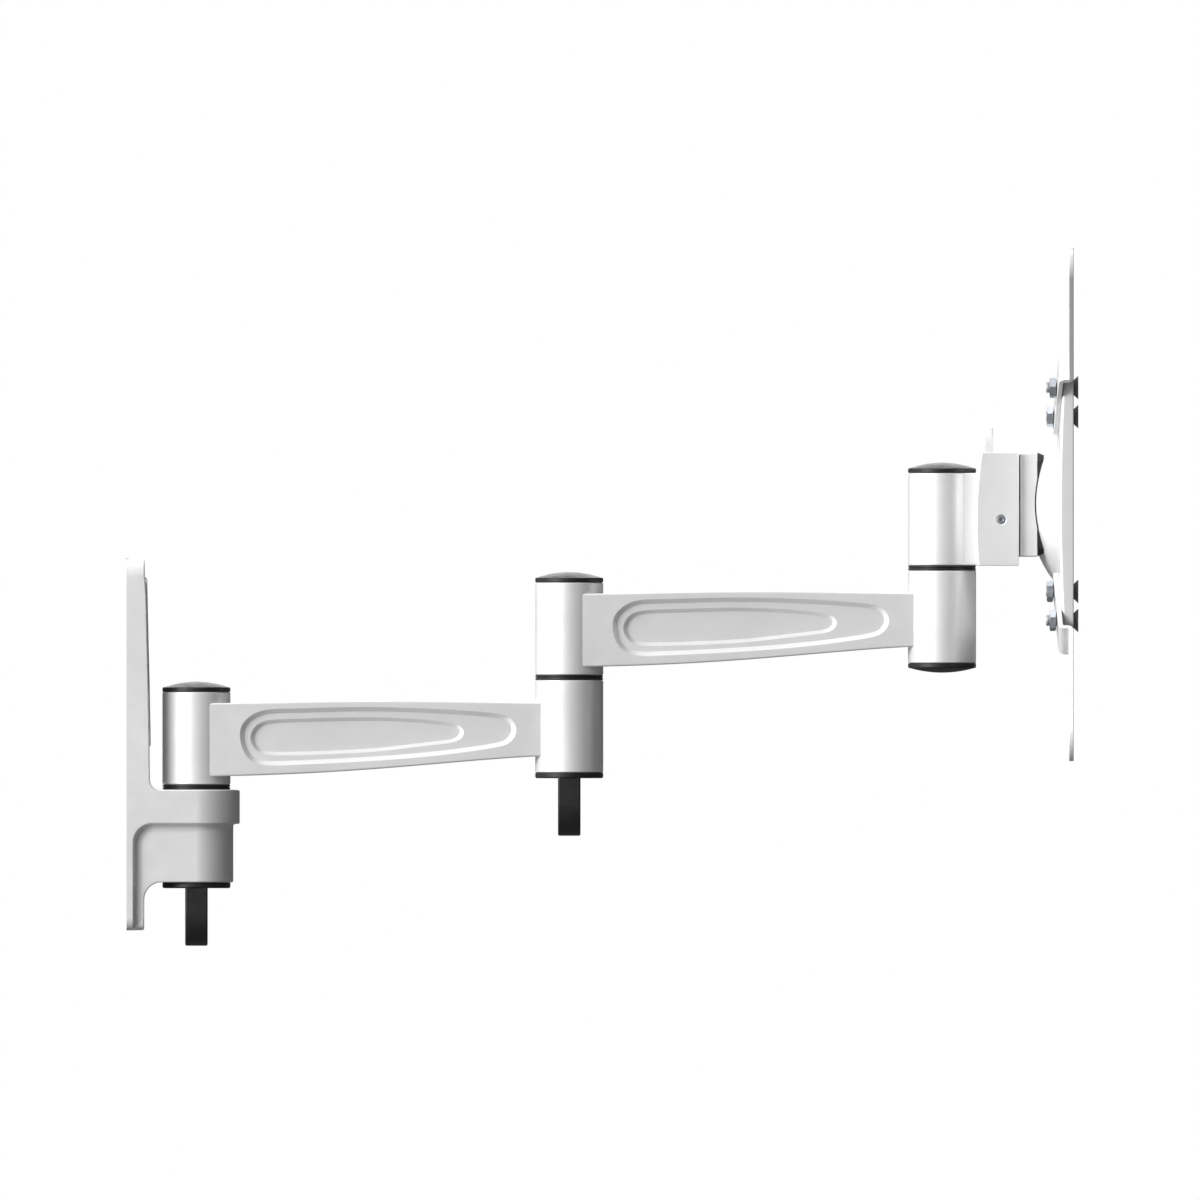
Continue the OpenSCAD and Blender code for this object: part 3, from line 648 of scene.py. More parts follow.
OUTER = [(18.7, 2.8), (20.2, 9.2), (28.2, 14.3), (44.5, 15.2), (74, 15.8), (104.6, 14.9), (129.5, 12.9), (135.6, 10.2), (137.3, 6.2), (135.9, 2.4), (131.5, -0.7), (115.3, -3.4), (96, -5.6), (74, -7.3), (44.5, -8.8), (28.2, -8.9), (21.4, -5.2)]
INNER = [(23.1, 2.6), (24.9, 7.2), (30.2, 10), (44.5, 10.8), (74, 11.4), (96, 10.5), (110.5, 8.8), (114.1, 7.1), (114.8, 4.9), (113.4, 2.3), (109.5, 0.7), (96, -1), (74, -3.4), (44.5, -4.7), (29.2, -4.4), (24.6, -1.4)]
BEAM = [(0, 17.5), (10, 17.6), (28, 17.9), (45, 18.25), (62, 18.45), (79, 18.6), (96, 18.6), (113, 18.35), (130, 18), (148, 17.9), (160, 17.9)]
BELLY = [(160, -5), (144, -5.1), (130, -6.4), (113, -7.9), (96, -9.3), (79, -10.5), (62, -11.6), (45, -12.6), (28, -13.5), (18, -13.85), (0, -14)]


def ramp(width, depth, r):
    """(inward distance, depth) down one sloped wall, both of its edges rounded."""
    return rounded([(-1.2, 0), (0, 0), (width, depth), (width + 1.2, depth)], [0, r, r, 0], 5)[1:-1]


def beam(grow=0.0):
    xs = np.linspace(3.0, 153.0, 76)
    top = np.array(BEAM)
    low = np.array(BELLY)[::-1]

    def fair(x, pts):
        c = np.polyfit(pts[:, 0], pts[:, 1], 4)
        return np.polyval(c, x)

    outline = [(x, z) for x, z in zip(xs, fair(xs, low))] + [(x, z) for x, z in zip(xs[::-1], fair(xs[::-1], top))]
    outline = np.array(outline)
    lean = (HALF_IN - HALF_OUT) / ARM

    def half(x):
        return HALF_IN - lean * x

    r, seg = 0.8, 6
    rings = []
    for side in (-1, 1):
        steps = range(seg + 1) if side < 0 else range(seg, -1, -1)
        for k in steps:
            a = math.pi / 2 * k / seg
            q = inset(outline, r * (1 - math.sin(a)))
            rings.append([(x, side * (half(x) - r * (1 - math.cos(a))), z) for x, z in q])
    v, f = loft(rings, caps=(False, False))
    n = len(outline)
    ends = {-1: list(range(n)), 1: list(range(len(v) - n, len(v)))}

    outer, inner = smooth_ring(OUTER, 320, 8), smooth_ring(INNER, 260, 6)
    for ring in (outer, inner):
        area = 0.5 * np.sum(ring[:, 0] * np.roll(ring[:, 1], -1) - np.roll(ring[:, 0], -1) * ring[:, 1])
        if area < 0:
            ring[:] = ring[::-1].copy()
    walls = ((outer, ramp(1.75, 1.8, 0.45), 0.0), (inner, ramp(1.35, 1.6, 0.4), 1.8))
    for side in (-1, 1):
        edge = ends[side]
        for ring, steps, start in walls:
            idx = []
            for t, d in steps:
                q = inset(ring, t)
                k = len(v)
                v += [(x, side * (half(x) - start - d), z) for x, z in q]
                idx.append(list(range(k, k + len(q))))
            fill(v, f, edge, idx[0], side)
            for a, b in zip(idx, idx[1:]):
                for i in range(len(a)):
                    j = (i + 1) % len(a)
                    q = (a[i], a[j], b[j], b[i])
                    f.append(q if side < 0 else q[::-1])
            edge = idx[-1]
        f.append(tuple(edge) if side < 0 else tuple(reversed(edge)))
    return v, f


def fill(v, f, outer, inner, side):
    """Fills the flat band between two rings of points with triangles."""
    loops = [[Vector((v[i][0], v[i][2], 0)) for i in outer], [Vector((v[i][0], v[i][2], 0)) for i in reversed(inner)]]
    flat = list(outer) + list(reversed(inner))
    for t in tessellate_polygon(loops):
        f.append(tuple(flat[i] for i in t))


def arm(name, body, node, at):
    o = solid(beam())
    shift(o, (0, 0, 0))
    b1 = solid(placed(revolve(rounded([(0, 0), (BARREL_R, 0), (BARREL_R, BARREL_H), (0, BARREL_H)], [0, 0.5, 0.5, 0], 6), 160), (0, 0, Z1)))
    b2 = solid(placed(revolve(rounded([(0, 0), (BARREL_R, 0), (BARREL_R, BARREL_H), (0, BARREL_H)], [0, 0.5, 0.5, 0], 6), 160), (ARM, 0, Z1 + RISE)))
    o = union(o, b1, b2)
    top = Z1 + BARREL_H
    c1 = solid(revolve([(0, Z1 - 1), (10.2, Z1 - 1), (10.2, Z1 + 1.6), (8.6, Z1 + 1.6), (8.6, top - 12), (12.2, top - 12), (12.2, top + 1), (0, top + 1)], 96))
    z = Z1 + RISE
    c2 = solid(placed(revolve([(0, z - 1), (12.2, z - 1), (12.2, z + 10.4), (8.02, z + 10.4), (8.02, z + 41), (0, z + 41)], 96), (ARM, 0, 0)))
    o = cut(o, c1, c2)
    shift(o, at)
    return piece(o, name, body, [node], CAST, sharp=19)


def shift(o, by):
    o.data.transform(Matrix.Translation(by))


# ---------------------------------------------------------------- pivots


def friction_ring(name, body, node, x, z):
    p = [(8.1, -RING_H + 0.01), (BARREL_R - 0.45, -RING_H + 0.01), (BARREL_R, -RING_H + 0.4), (BARREL_R, -RING_H + 0.85), (BARREL_R - 0.42, -RING_H + 1.1), (BARREL_R - 0.42, -RING_H + 1.3), (BARREL_R, -RING_H + 1.55), (BARREL_R, -0.36), (BARREL_R - 0.45, -0.01), (8.1, -0.01)]
    o = solid(placed(revolve(rounded(p, [0, 0.2, 0.2, 0.12, 0.08, 0.08, 0.12, 0.2, 0.2, 0], 3), 160, ring=True), (x, 0, z)))
    return piece(o, name, body, [node], BLACK)


def domed_cap(name, body, node, x, z, rim=2.1, rise=2.4, under=False):
    r = (13.9**2 + rise**2) / (2 * rise)
    half = math.degrees(math.asin(13.9 / r))
    edge = rounded([(12.15, -5), (12.15, 0), (BARREL_R - 0.35, 0), (BARREL_R, 0.35), (BARREL_R, rim - 0.45), (14.35, rim - 0.02), (13.9, rim)], [0, 0, 0.1, 0.15, 0.2, 0.12, 0], 3)
    dome = arc(0, rim + rise - r, r, 90 - half, 90, 16)
    dome[-1] = (0, rim + rise)
    inside = [(0, rim + rise - 1.6), (8, rim + rise - 2.3), (11, 0), (11, -5)]
    o = solid(placed(revolve(edge + dome + inside, 160, ring=False), (x, 0, z), flip=under))
    close(o)
    return piece(o, name, body, [node], BLACK)


def close(o):
    """Closes a revolved profile whose ends meet the axis or each other."""
    bm = bmesh.new()
    bm.from_mesh(o.data)
    bmesh.ops.remove_doubles(bm, verts=bm.verts, dist=2e-4)
    loops = [e for e in bm.edges if e.is_boundary]
    if loops:
        bmesh.ops.bridge_loops(bm, edges=loops)
    bmesh.ops.recalc_face_normals(bm, faces=bm.faces)
    bm.to_mesh(o.data)
    bm.free()


def cable_clip(name, body, node, x, z):
    p = [(0, -0.3), (11, -0.3), (11, 5), (12.15, 5), (12.15, 0), (BARREL_R - 0.35, 0), (BARREL_R, -0.35), (BARREL_R, -2.0), (BARREL_R - 0.5, -2.5), (0, -2.5)]
    o = solid(placed(revolve(rounded(p, [0, 0, 0, 0, 0, 0.1, 0.15, 0.35, 0.35, 0], 4), 160), (x, 0, z)))
    # loop: a rounded strap, swept down, round and up again
    path = [(-12.4, -1.2), (-12.4, -5), (-12.4, -13.3 + 0.0)]
    path += arc(0, -13.3, 12.4, 180, 360, 48)[1:]
    path += [(12.4, -5), (12.4, -1.2)]
    path = np.array(path)
    section = rounded([(-4.85, -1.5), (4.85, -1.5), (4.85, 1.5), (-4.85, 1.5)], 0.75, 4, closed=True)
    rings = []
    for i, (py, pz) in enumerate(path):
        a, b = path[max(0, i - 1)], path[min(len(path) - 1, i + 1)]
        t = (b - a) / np.linalg.norm(b - a)
        nrm = np.array([-t[1], t[0]])
        rings.append([(x + sx, py + nrm[0] * sn, z + pz + nrm[1] * sn) for sx, sn in section])
    strap = solid(loft(rings))
    o = union(o, strap)
    return piece(o, name, body, [node], BLACK)


# ---------------------------------------------------------------- head


def head_bracket():
    # cradle: its back bows, its upright edges are rounded, and its top and bottom edges are only eased
    levels = [(CRADLE_BOTTOM + 0.4 * (1 - math.cos(math.pi / 2 * k / 4)), 0.4 * (1 - math.sin(math.pi / 2 * k / 4))) for k in range(5)]
    levels += [(CRADLE_BOTTOM + 0.4 + (CRADLE_TOP - CRADLE_BOTTOM - 0.8) * k / 26, 0.0) for k in range(1, 26)]
    levels += [(CRADLE_TOP - 0.4 * (1 - math.cos(math.pi / 2 * k / 4)), 0.4 * (1 - math.sin(math.pi / 2 * k / 4))) for k in range(4, -1, -1)]
    rings = []
    for z, d in levels:
        x = CRADLE_BACK + (z - HEAD_Z + 7.6) ** 2 / 400
        q = rounded([(x, -CRADLE_HALF), (CRADLE_FRONT, -CRADLE_HALF), (CRADLE_FRONT, CRADLE_HALF), (x, CRADLE_HALF)], [1.25, 0.7, 0.7, 1.25], 6, closed=True)
        rings.append([(px, py, z) for px, py in inset(q, d)])
    o = solid(loft(rings))
    # the pivot barrel and the neck that carries the cradle are one outline
    bend = math.degrees(math.asin(11.4 / BARREL_R))
    outline = arc(X3, 0, BARREL_R, bend, 360 - bend, 110) + [(X3 + 18, -11.4), (X3 + 18, 11.4)]
    barrel = solid(prism(outline, Z3, Z3 + BARREL_H, 0.5, 0.5, 6))
    lug_out = arc(0, CRADLE_TOP + 3, 8, 0, 180, 24)
    lug_out = [(8, CRADLE_TOP - 2)] + lug_out + [(-8, CRADLE_TOP - 2)]
    lug = solid(placed(prism(lug_out, X3 + 17.8, X3 + 21.9, 0.7, 0.7), axis="x"))
    o = union(o, barrel, lug)
    slot = solid(prism(box_outline(SLOT_BACK, SLOT_FRONT, -16.1, 16.1, 0.5, 3), SEAT_Z, SEAT_Z + 60))
    mouth = solid(prism(box_outline(SLOT_FRONT - 1, SLOT_FRONT + 9, -11, 11, 0.0, 1), SEAT_Z, SEAT_Z + 60))
    top = Z3 + BARREL_H
    bore = solid(placed(revolve([(0, Z3 - 1), (10.2, Z3 - 1), (10.2, Z3 + 1.6), (8.6, Z3 + 1.6), (8.6, top - 12), (12.2, top - 12), (12.2, top + 1), (0, top + 1)], 96), (X3, 0, 0)))
    eye = solid(placed(revolve([(0, 13), (3.5, 13), (3.5, 17.8), (3.0, 18.4), (3.0, 21.3), (3.5, 21.9), (3.5, 26), (0, 26)], 64), (X3, 0, CRADLE_TOP + 4.5), "x"))
    tap = solid(placed(revolve([(0, -1), (2.35, -1), (2.35, 0.0), (2.0, 0.35), (2.0, 8), (0, 8)], 48), (X3 + 25.4, -CRADLE_HALF, 96.3), "y"))
    o = cut(o, slot, mouth, bore, eye, tap)
    return piece(o, "Head_Bracket", "head", ["head_bracket"], CAST, sharp=23)


def lock_screw():
    p = rounded([(0, 0), (1.96, 0), (1.96, 5.8), (0, 5.8)], [0, 0.3, 0.3, 0], 3)
    o = solid(placed(revolve(p, 48), (X3 + 25.4, -CRADLE_HALF + 0.3, 96.3), "y"))
    sock = solid(placed(revolve([(0, -1), (1.15, -1), (1.15, 2), (0, 2.4)], 6), (X3 + 25.4, -CRADLE_HALF + 0.3, 96.3), "y"))
    return piece(cut(o, sock), "Lock_Screw", "head", ["lock_screw"], ZINC, sharp=25)


def sphere_cutter(r, reach, n=160, steps=36):
    """A ball on the tilt axis, drawn only as far as reach from the middle line."""
    a = math.degrees(math.asin(min(1, reach / r)))
    p = [(r * math.sin(math.radians(a * i / steps)), -r * math.cos(math.radians(a * i / steps))) for i in range(steps + 1)]
    p[0] = (0, -r)
    return solid(placed(revolve(p + [(p[-1][0], 0), (0, 0)], n), (TILT_X, 0, HEAD_Z), "x"))


def carriage():
    tongue = solid(prism(box_outline(SLOT_BACK + 0.1, SLOT_FRONT - 0.1, -16, 16, 0.5, 3), SEAT_Z + 0.0, CRADLE_TOP - 1, 0.5, 0.5))
    neck = solid(prism(box_outline(SLOT_FRONT - 0.5, SLOT_FRONT + 5.5, -10.9, 10.9, 0.0, 1), SEAT_Z, CRADLE_TOP - 1, 0, 0))
    # the edges of the block run up and across, so it is drawn in the plane of the screen
    block = solid(placed(prism(box_outline(-CARRIAGE_HALF, CARRIAGE_HALF, SEAT_Z, CRADLE_TOP, 0.9, 4), BLOCK_BACK, BLOCK_FRONT, 0.7, 0.25), axis="x"))
    o = union(block, tongue, neck)
    ball = sphere_cutter(DOME_R + 0.6, 40)
    hole = solid(placed(revolve([(0, 20), (4.2, 20), (4.2, 60), (0, 60)], 64), (X3, 0, HEAD_Z), "x"))
    pocket = solid(placed(revolve([(0, 0), (13.2 / 2 / math.cos(math.pi / 6), 0), (13.2 / 2 / math.cos(math.pi / 6), 7.4), (0, 7.4)], 6), (SLOT_BACK - 1, 0, HEAD_Z), "x"))
    return piece(cut(o, ball, hole, pocket), "Carriage", "carriage", ["carriage"], CAST, sharp=30)


def friction_cup():
    y0, z0, z1 = CARRIAGE_HALF, -22.7, 22.1
    shell = solid(placed(prism(box_outline(-y0 + 0.05, y0 - 0.05, HEAD_Z + z0 + 0.05, HEAD_Z + z1 - 0.05, 0.9, 4), X3 + 30, BLOCK_FRONT - 0.02), axis="x"))
    shell = common(shell, sphere_cutter(DOME_R + 0.59, 44))
    rim = []
    for k, (x, t) in enumerate(((BLOCK_FRONT - 0.05, 0.0), (BLOCK_FRONT + 0.25, 0.05), (X3 + 44.1, 1.45), (X3 + 44.45, 1.75), (X3 + 44.6, 2.1))):
        q = box_outline(-y0 + t * 0.78, y0 - t * 0.78, HEAD_Z - 22.4 + t, HEAD_Z + 22.1 - t, 1.2, 5)
        rim.append([(x, y, z) for y, z in q])
    trim = solid(placed(revolve(rounded([(0, 35), (26.7, 35), (26.7, 50), (0, 50)], 0, 1), 160), (X3, 0, HEAD_Z), "x"))
    o = union(shell, common(solid(loft(rim)), trim))
    hole = solid(placed(revolve([(0, 20), (6.5, 20), (6.5, 60), (0, 60)], 64), (X3, 0, HEAD_Z), "x"))
    return piece(cut(o, sphere_cutter(DOME_R + 0.1, 44), hole), "Friction_Cup", "carriage", ["friction_cup"], BLACK, sharp=30)


def hex_nut(flat, h, bore, chamfer=0.16, n=48):
    """A hexagon nut with both faces chamfered, its axis along z from 0 to h."""
    c = flat / 2 / math.cos(math.pi / 6)
    k = (c - flat / 2 * 0.97) * 0.55
    o = solid(revolve([(0, 0), (c, 0), (c, h), (0, h)], 6))
    turned = solid(revolve([(0, 0), (flat / 2 * 0.95, 0), (c + 0.02, k), (c + 0.02, h - k), (flat / 2 * 0.95, h), (0, h)], 96))
    o = common(o, turned)
    hole = solid(revolve([(0, -1), (bore + 0.4, -1), (bore + 0.4, 0), (bore, 0.4), (bore, h - 0.4), (bore + 0.4, h), (bore + 0.4, h + 1), (0, h + 1)], n))
    return cut(o, hole)


def moved(o, origin, axis="z", turn=0.0):
    m = Matrix.Rotation(turn, 4, "Z")
    if axis == "x":
        m = Matrix(((0, 0, 1, 0), (1, 0, 0, 0), (0, 1, 0, 0), (0, 0, 0, 1))) @ m
    o.data.transform(Matrix.Translation(origin) @ m)
    return o


def merge(objects):
    """Puts separate solids into one mesh."""
    first = objects[0]
    bm = bmesh.new()
    for o in objects:
        bm.from_mesh(o.data)
    bm.to_mesh(first.data)
    bm.free()
    for o in objects[1:]:
        gone = o.data
        bpy.data.objects.remove(o)
        bpy.data.meshes.remove(gone)
    return first


def head_bolt():
    p = [(0, 22.2), (3.6, 22.2), (4.0, 22.6)]
    for i in range(14):
        x = 23.4 + i * 1.25
        p += [(4.0, x), (3.55, x + 0.55), (3.55, x + 0.7), (4.0, x + 1.25)]
    p += [(4.0, 46.2), (6.8, 46.2), (7.0, 46.4), (7.0, 47.7)] + arc(0, 43.9, 7.85, 27, 52, 8) + [(4.2, 50.2), (0, 50.2)]
    o = solid(placed(revolve(p, 96), (X3, 0, HEAD_Z), "x"))
    sock = solid(placed(revolve([(0, 47.9), (2.887, 47.8), (2.887, 52), (0, 52)], 6), (X3, 0, HEAD_Z), "x"))
    return piece(cut(o, sock), "Head_Bolt", "carriage", ["head_bolt"], ZINC, sharp=28)


def guide_washer():
    o = sphere_cutter(DOME_R - DOME_T - 0.1, 14)
    o = common(o, solid(placed(revolve(rounded([(0, 30), (13, 30), (13, 43.6), (0, 43.6)], [0, 0, 0.5, 0], 4), 128), (X3, 0, HEAD_Z), "x")))
    key = solid(placed(revolve(rounded([(0, 37.4), (4.95, 37.4), (4.95, 43), (0, 43)], [0, 0.3, 0, 0], 3), 96), (X3, 0, HEAD_Z), "x"))
    o = union(o, key)
    hole = solid(placed(revolve([(0, 30), (4.15, 30), (4.15, 43.1), (4.6, 43.7), (4.6, 60), (0, 60)], 64), (X3, 0, HEAD_Z), "x"))
    return piece(cut(o, hole), "Guide_Washer", "tilt_guide", ["guide_washer"], TURNED, sharp=28)


# ---------------------------------------------------------------- screen plate


def square_ring(half, corner, n=264):
    """A rounded square, read off at even angles so that it matches a circle point for point."""
    pts = rounded([(-half, -half), (half, -half), (half, half), (-half, half)], corner, 24, closed=True)
    p = resample(pts, 8000)
    ang = np.arctan2(p[:, 1], p[:, 0])
    order = np.argsort(ang)
    ang, rad = ang[order], np.hypot(p[:, 0], p[:, 1])[order]
    t = -math.pi + 2 * math.pi * (np.arange(n) + 0.5) / n
    r = np.interp(t, np.concatenate([ang[-1:] - 2 * math.pi, ang, ang[:1] + 2 * math.pi]), np.concatenate([rad[-1:], rad, rad[:1]]))
    return t, r


def screen_plate():
    n = 264
    t, edge = square_ring(PLATE_HALF, 7, n)
    rings = []

    def ring(radii, x):
        x = np.broadcast_to(x, radii.shape)
        rings.append([(x[i], radii[i] * math.cos(t[i]), HEAD_Z + radii[i] * math.sin(t[i])) for i in range(n)])

    one = np.ones(n)
    # dome, then a soft fillet on to the crowned back
    join = 34.75
    steps = [(r, TILT_X - math.sqrt(DOME_R**2 - r * r)) for r in np.linspace(0.6, join, 40)]
    crown = [(r, CROWN_X + r * r / (2 * CROWN_R)) for r in (join, join + 5)]
    prof = steps[:-6] + rounded([steps[-7], steps[-1], crown[1]], [0, 2.4, 0], 6)[1:]
    for r, x in prof:
        ring(one * r, x)
    start = prof[-1][0]
    for k in range(1, 13):
        u = k / 12
        rad = start + (edge - 1.2 - start) * u
        ring(rad, CROWN_X + rad * rad / (2 * CROWN_R))
    back = CROWN_X + edge * edge / (2 * CROWN_R)
    for k in range(1, 6):
        a = math.pi / 2 * k / 5
        ring(edge - 1.2 + 1.2 * math.sin(a), back + 1.2 * (1 - math.cos(a)))
    for k in range(0, 4):
        a = math.pi / 2 * k / 3
        ring(edge - 0.5 * (1 - math.cos(a)), FRONT_X - 0.5 * (1 - math.sin(a)))
    inner = DOME_R - DOME_T
    mouth = math.sqrt(inner**2 - (TILT_X - FRONT_X) ** 2)
    for k in range(4):
        a = math.pi / 2 * k / 3
        ring(one * (mouth + 0.4 * (1 - math.sin(a))), FRONT_X - 0.4 * (1 - math.cos(a)))
    for r in np.linspace(mouth - 0.4, 0.6, 34):
        ring(one * r, TILT_X - math.sqrt(inner**2 - r * r))
    o = solid(loft(rings))
    slot_out = arc(0, HEAD_Z + 14.9, 5.05, 0, 180, 16) + arc(0, HEAD_Z - 14.9, 5.05, 180, 360, 16)
    slot = solid(placed(prism(slot_out, X3 + 30, X3 + 44), axis="x"))
    holes = []
    for d in (37.5, 50):
        for a in (-1, 1):
            for b in (-1, 1):
                holes.append(solid(placed(revolve([(0, 40), (2.75, 40), (2.75, 56.5 - 0.58), (3.35, 56.52), (3.35, 60), (0, 60)], 48), (X3, a * d, HEAD_Z + b * d), "x")))
    o = cut(o, slot, *holes)
    return piece(o, "Screen_Plate", "screen_plate", ["screen_plate"], PLATE, sharp=30)


def adaptor(name, node, turn):
    lean = math.radians(4)
    touch = CROWN_X + 62 * 62 / (2 * CROWN_R)
    start = 37.5 / DIAG - 8
    tip = 100 / DIAG + 3.3 + 8
    # line down the middle of the sheet, (depth, distance from the plate's middle)
    mid = touch - 1 / math.cos(lean)
    bend = 81.4 + 1
    line = [(mid + (start - 62) * math.tan(lean), start), (mid + (bend - 62) * math.tan(lean), bend), (FRONT_X - 1, bend), (FRONT_X - 1, tip)]
    line = np.array(rounded(line, [0, 1.75, 1.75, 0], 8))
    d = np.concatenate([[0], np.cumsum(np.linalg.norm(np.diff(line, axis=0), axis=1))])
    total = d[-1]
    outline = arc(total - 8, 0, 8, -90, 90, 24) + arc(8, 0, 8, 90, 270, 24)
    o = solid(prism(outline, -SHEET_T / 2, SHEET_T / 2, 0.3, 0.3, 3))
    cutters = []
    for s, r in ((37.5 / DIAG, 2.75), (50 / DIAG, 2.75), (100 / DIAG, 3.25)):
        where = (s - start) / math.cos(lean) if s < 80 else total - (tip - s)
        p = [(0, -2), (r + 0.3, -2), (r + 0.3, -1), (r, -0.75), (r, 0.75), (r + 0.3, 1), (r + 0.3, 2), (0, 2)]
        cutters.append(solid(placed(revolve(p, 48), (where, 0, 0))))
    o = cut(o, *cutters)
    bm = bmesh.new()
    bm.from_mesh(o.data)
    for c in list(d[1:-1]) + [20.0]:
        bmesh.ops.bisect_plane(bm, geom=bm.verts[:] + bm.edges[:] + bm.faces[:], plane_co=(c, 0, 0), plane_no=(1, 0, 0), dist=1e-5)
    tangent = np.gradient(line, d, axis=0)
    tangent /= np.linalg.norm(tangent, axis=1, keepdims=True)
    # straight runs keep their own direction up to the first point of each bend
    for vert in bm.verts:
        c, w, h = vert.co
        c = min(max(c, 0), total)
        px, ps = np.interp(c, d, line[:, 0]), np.interp(c, d, line[:, 1])
        tx, ts = np.interp(c, d, tangent[:, 0]), np.interp(c, d, tangent[:, 1])
        k = math.hypot(tx, ts)
        tx, ts = tx / k, ts / k
        # the sheet's front is +h, towards the screen
        x, s = px + h * ts, ps - h * tx
        vert.co = (x, w, s)
    bmesh.ops.recalc_face_normals(bm, faces=bm.faces)
    bm.to_mesh(o.data)
    bm.free()
    o.data.transform(Matrix.Translation((0, 0, HEAD_Z)) @ Matrix.Rotation(math.radians(turn), 4, "X"))
    return piece(o, name, "screen_plate", [node], SHEET, sharp=30)


def thread(r, x0, x1, pitch=0.8):
    """Radius and height of a run of thread crests and roots."""
    n = max(1, int((x1 - x0) / pitch))
    p = (x1 - x0) / n
    out = []
    for i in range(n):
        x = x0 + i * p
        out += [(r, x), (r, x + 0.12 * p), (r - 0.4, x + 0.46 * p), (r - 0.4, x + 0.58 * p), (r, x + 0.94 * p)]
    return out


def adaptor_screws():
    parts = []
    for i, (d, a, b) in enumerate((d, a, b) for d in (37.5, 50) for a in (-1, 1) for b in (-1, 1)):
        p = [(0, 44.6), (1.9, 44.6), (2.5, 45.2)] + thread(2.5, 45.2, 54.4) + [(2.5, 54.6), (2.5, 55.63), (5.0, 58.32), (5.1, 58.5 - 0.08), (5.02, 58.5), (0, 58.5)]
        o = solid(placed(revolve(p, 64), (X3, a * d, HEAD_Z + b * d), "x"))
        sock = solid(placed(revolve([(0, 56.9), (1.732, 56.9), (1.732, 58.1), (2.05, 58.5), (2.05, 60), (0, 60)], 6, turn=0.4 * i), (X3, a * d, HEAD_Z + b * d), "x"))
        parts.append(cut(o, sock))
    return piece(merge(parts), "Adaptor_Screws", "screen_plate", ["adaptor_screws"], DARK, sharp=28)


def adaptor_nuts():
    touch = CROWN_X + 62 * 62 / (2 * CROWN_R) - SHEET_T / math.cos(math.radians(4))
    parts = []
    for d in (37.5, 50):
        for a in (-1, 1):
            for b in (-1, 1):
                x = touch + (d / DIAG - 4.65 - 62) * math.tan(math.radians(4)) - 2.8
                o = hex_nut(8.0, 2.8, 2.52)
                parts.append(moved(o, (x, a * d, HEAD_Z + b * d), "x", math.radians(10 + 11 * a + 7 * b + d)))
    return piece(merge(parts), "Adaptor_Nuts", "screen_plate", ["adaptor_nuts"], ZINC, sharp=28)


def lock_nut(name, body, node, x, z, turn):
    o = hex_nut(17.0, 5.8, 5.02)
    return piece(moved(o, (x, 0, z + BARREL_H - 12 + 5.6), "z", math.radians(turn)), name, body, [node], ZINC, sharp=28)


# ---------------------------------------------------------------- build

wall_bracket()
screw_cover()
arm("Inner_Arm", "inner_arm", "inner_arm", (X1, 0, 0))
arm("Outer_Arm", "outer_arm", "outer_arm", (X2, 0, STEP))
friction_ring("Base_Friction_Ring", "wall_base", "base_friction_ring", X1, Z1)
friction_ring("Elbow_Friction_Ring", "inner_arm", "elbow_friction_ring", X2, Z2)
friction_ring("Wrist_Friction_Ring", "outer_arm", "wrist_friction_ring", X3, Z3)
domed_cap("Base_Top_Cap", "inner_arm", "base_top_cap", X1, Z1 + BARREL_H)
domed_cap("Elbow_Top_Cap", "outer_arm", "elbow_top_cap", X2, Z2 + BARREL_H)
domed_cap("Wrist_Top_Cap", "head", "wrist_top_cap", X3, Z3 + BARREL_H)
domed_cap("Wrist_Bottom_Cap", "outer_arm", "wrist_bottom_cap", X3, Z2 + RISE, 2.2, 2.0, under=True)
cable_clip("Base_Cable_Clip", "wall_base", "base_cable_clip", X1, BOSS_Z)
cable_clip("Elbow_Cable_Clip", "inner_arm", "elbow_cable_clip", X2, Z1 + RISE)
head_bracket()
lock_screw()
carriage()
friction_cup()
head_bolt()
guide_washer()
screen_plate()
adaptor("Adaptor_Upper_Left", "adaptor_arm_upper_left", 45)
adaptor("Adaptor_Upper_Right", "adaptor_arm_upper_right", -45)
adaptor("Adaptor_Lower_Left", "adaptor_arm_lower_left", 135)
adaptor("Adaptor_Lower_Right", "adaptor_arm_lower_right", -135)
adaptor_screws()
adaptor_nuts()
lock_nut("Base_Lock_Nut", "wall_base", "base_lock_nut", X1, Z1, 0)
lock_nut("Elbow_Lock_Nut", "inner_arm", "elbow_lock_nut", X2, Z2, 17)
lock_nut("Wrist_Lock_Nut", "outer_arm", "wrist_lock_nut", X3, Z3, 41)
nut = moved(hex_nut(13.0, 6.1, 4.02), (SLOT_BACK + 0.2, 0, HEAD_Z), "x")
piece(nut, "Head_Nut", "carriage", ["head_nut"], ZINC, sharp=28)

# CAD pieces whose shape is right as it is: they only take a finish
for node, material in {
    "base_pivot_shaft": TURNED, "elbow_pivot_shaft": TURNED, "wrist_pivot_shaft": TURNED,
    "base_bushes": BRONZE, "elbow_bushes": BRONZE, "wrist_bushes": BRONZE,
    "base_thrust_washer": TURNED, "elbow_thrust_washer": TURNED, "wrist_thrust_washer": TURNED,
    "base_spring_washers": SPRING, "elbow_spring_washers": SPRING, "wrist_spring_washers": SPRING,
    "head_spring_washers": SPRING,
}.items():
    o = frame["nodes"][node]
    for s in range(max(1, len(o.material_slots))):
        if s < len(o.material_slots):
            o.material_slots[s].material = material
        else:
            o.data.materials.append(material)

# ---------------------------------------------------------------- light and camera; a wall mount hangs, so there is no floor

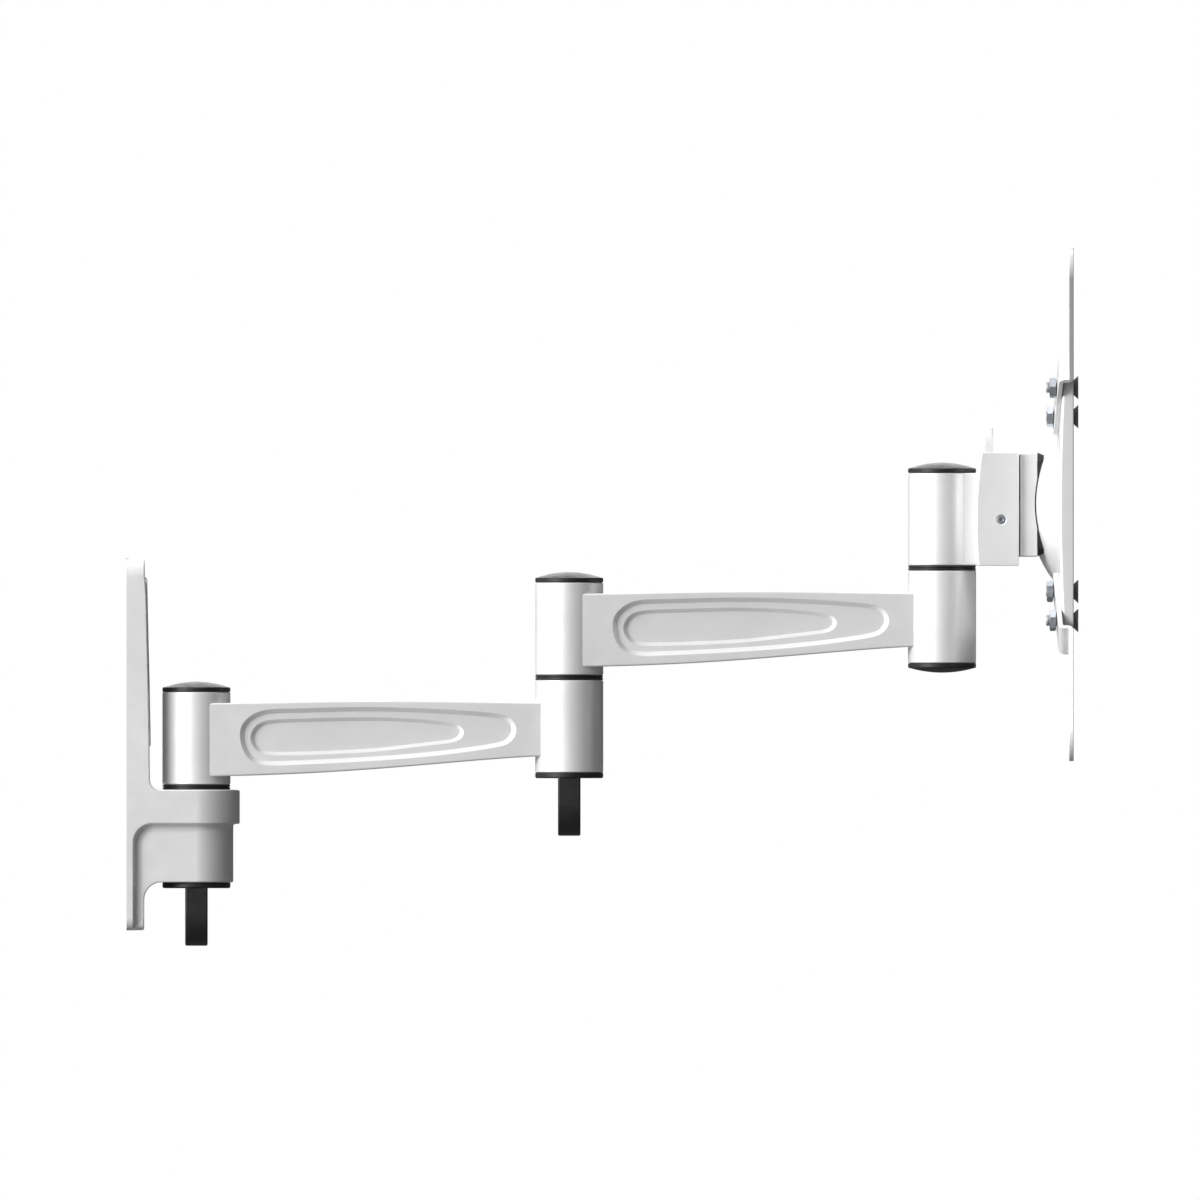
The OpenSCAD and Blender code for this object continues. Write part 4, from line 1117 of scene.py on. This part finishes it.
def light(name, at, aim, size, power, size_y=None, colour=(1, 1, 1)):
    d = bpy.data.lights.new(name, "AREA")
    d.energy, d.size, d.color = power, size, colour
    if size_y:
        d.shape, d.size_y = "RECTANGLE", size_y
    o = bpy.data.objects.new(name, d)
    scene.collection.objects.link(o)
    o.location = at
    o.rotation_mode = "QUATERNION"
    o.rotation_quaternion = (Vector(aim) - Vector(at)).to_track_quat("-Z", "Y")
    return o


light("Key_Softbox", (-2.6, -2.3, 1.45), (0.2, 0, 0.06), 2.0, 194)
light("Top_Softbox", (-0.3, 0.1, 2.2), (0.2, 0, 0.06), 2.0, 20)
light("Rear_Softbox", (0.2, 2.6, 1.2), (0.2, 0, 0.06), 1.8, 26)

# the backdrop is white; as a light it is bright on the left and overhead, and dim on the right and below
world = bpy.data.worlds.new("Studio_World")
scene.world = world
world.use_nodes = True
t = world.node_tree
bg = t.nodes["Background"]
way = t.nodes.new("ShaderNodeTexCoord").outputs["Generated"]


def lobe(direction, power, amount):
    dot = t.nodes.new("ShaderNodeVectorMath")
    dot.operation = "DOT_PRODUCT"
    dot.inputs[1].default_value = Vector(direction).normalized()
    t.links.new(way, dot.inputs[0])
    up = math_node(t, "POWER", math_node(t, "MAXIMUM", dot.outputs["Value"], 0.0), power)
    return math_node(t, "MULTIPLY", up, amount)


glow = math_node(t, "ADD", math_node(t, "ADD", lobe((-1, -0.35, 0.25), 1.6, 1.1), lobe((-0.2, 0, 1), 1.5, 0.22)), 0.035)
glow = math_node(t, "ADD", glow, lobe((0, 0, -1), 0.5, 0.11))
glow = math_node(t, "ADD", glow, lobe((1, 0.5, 0), 1.0, 0.07))
path = t.nodes.new("ShaderNodeLightPath")
show = t.nodes.new("ShaderNodeMix")
show.data_type = "FLOAT"
t.links.new(path.outputs["Is Camera Ray"], show.inputs[0])
t.links.new(glow, show.inputs[2])
show.inputs[3].default_value = 1.0
t.links.new(show.outputs[0], bg.inputs["Strength"])
bg.inputs["Color"].default_value = (1, 1, 1, 1)

cam_data = bpy.data.cameras.new("Camera")
cam_data.type = "ORTHO"
cam_data.ortho_scale = 0.515
cam = bpy.data.objects.new("Camera", cam_data)
scene.collection.objects.link(cam)
cam.location = (0.2032, -1.6, 0.0618)
cam.rotation_euler = (math.pi / 2, 0, 0)
cam_data.clip_start, cam_data.clip_end = 0.05, 20
scene.camera = cam
scene.view_settings.view_transform = "Standard"
scene.view_settings.look = "None"

for name, faces, open_edges in report:
    print(f"PIECE {name}: {faces} faces" + (f", {open_edges} OPEN EDGES" if open_edges else ""))
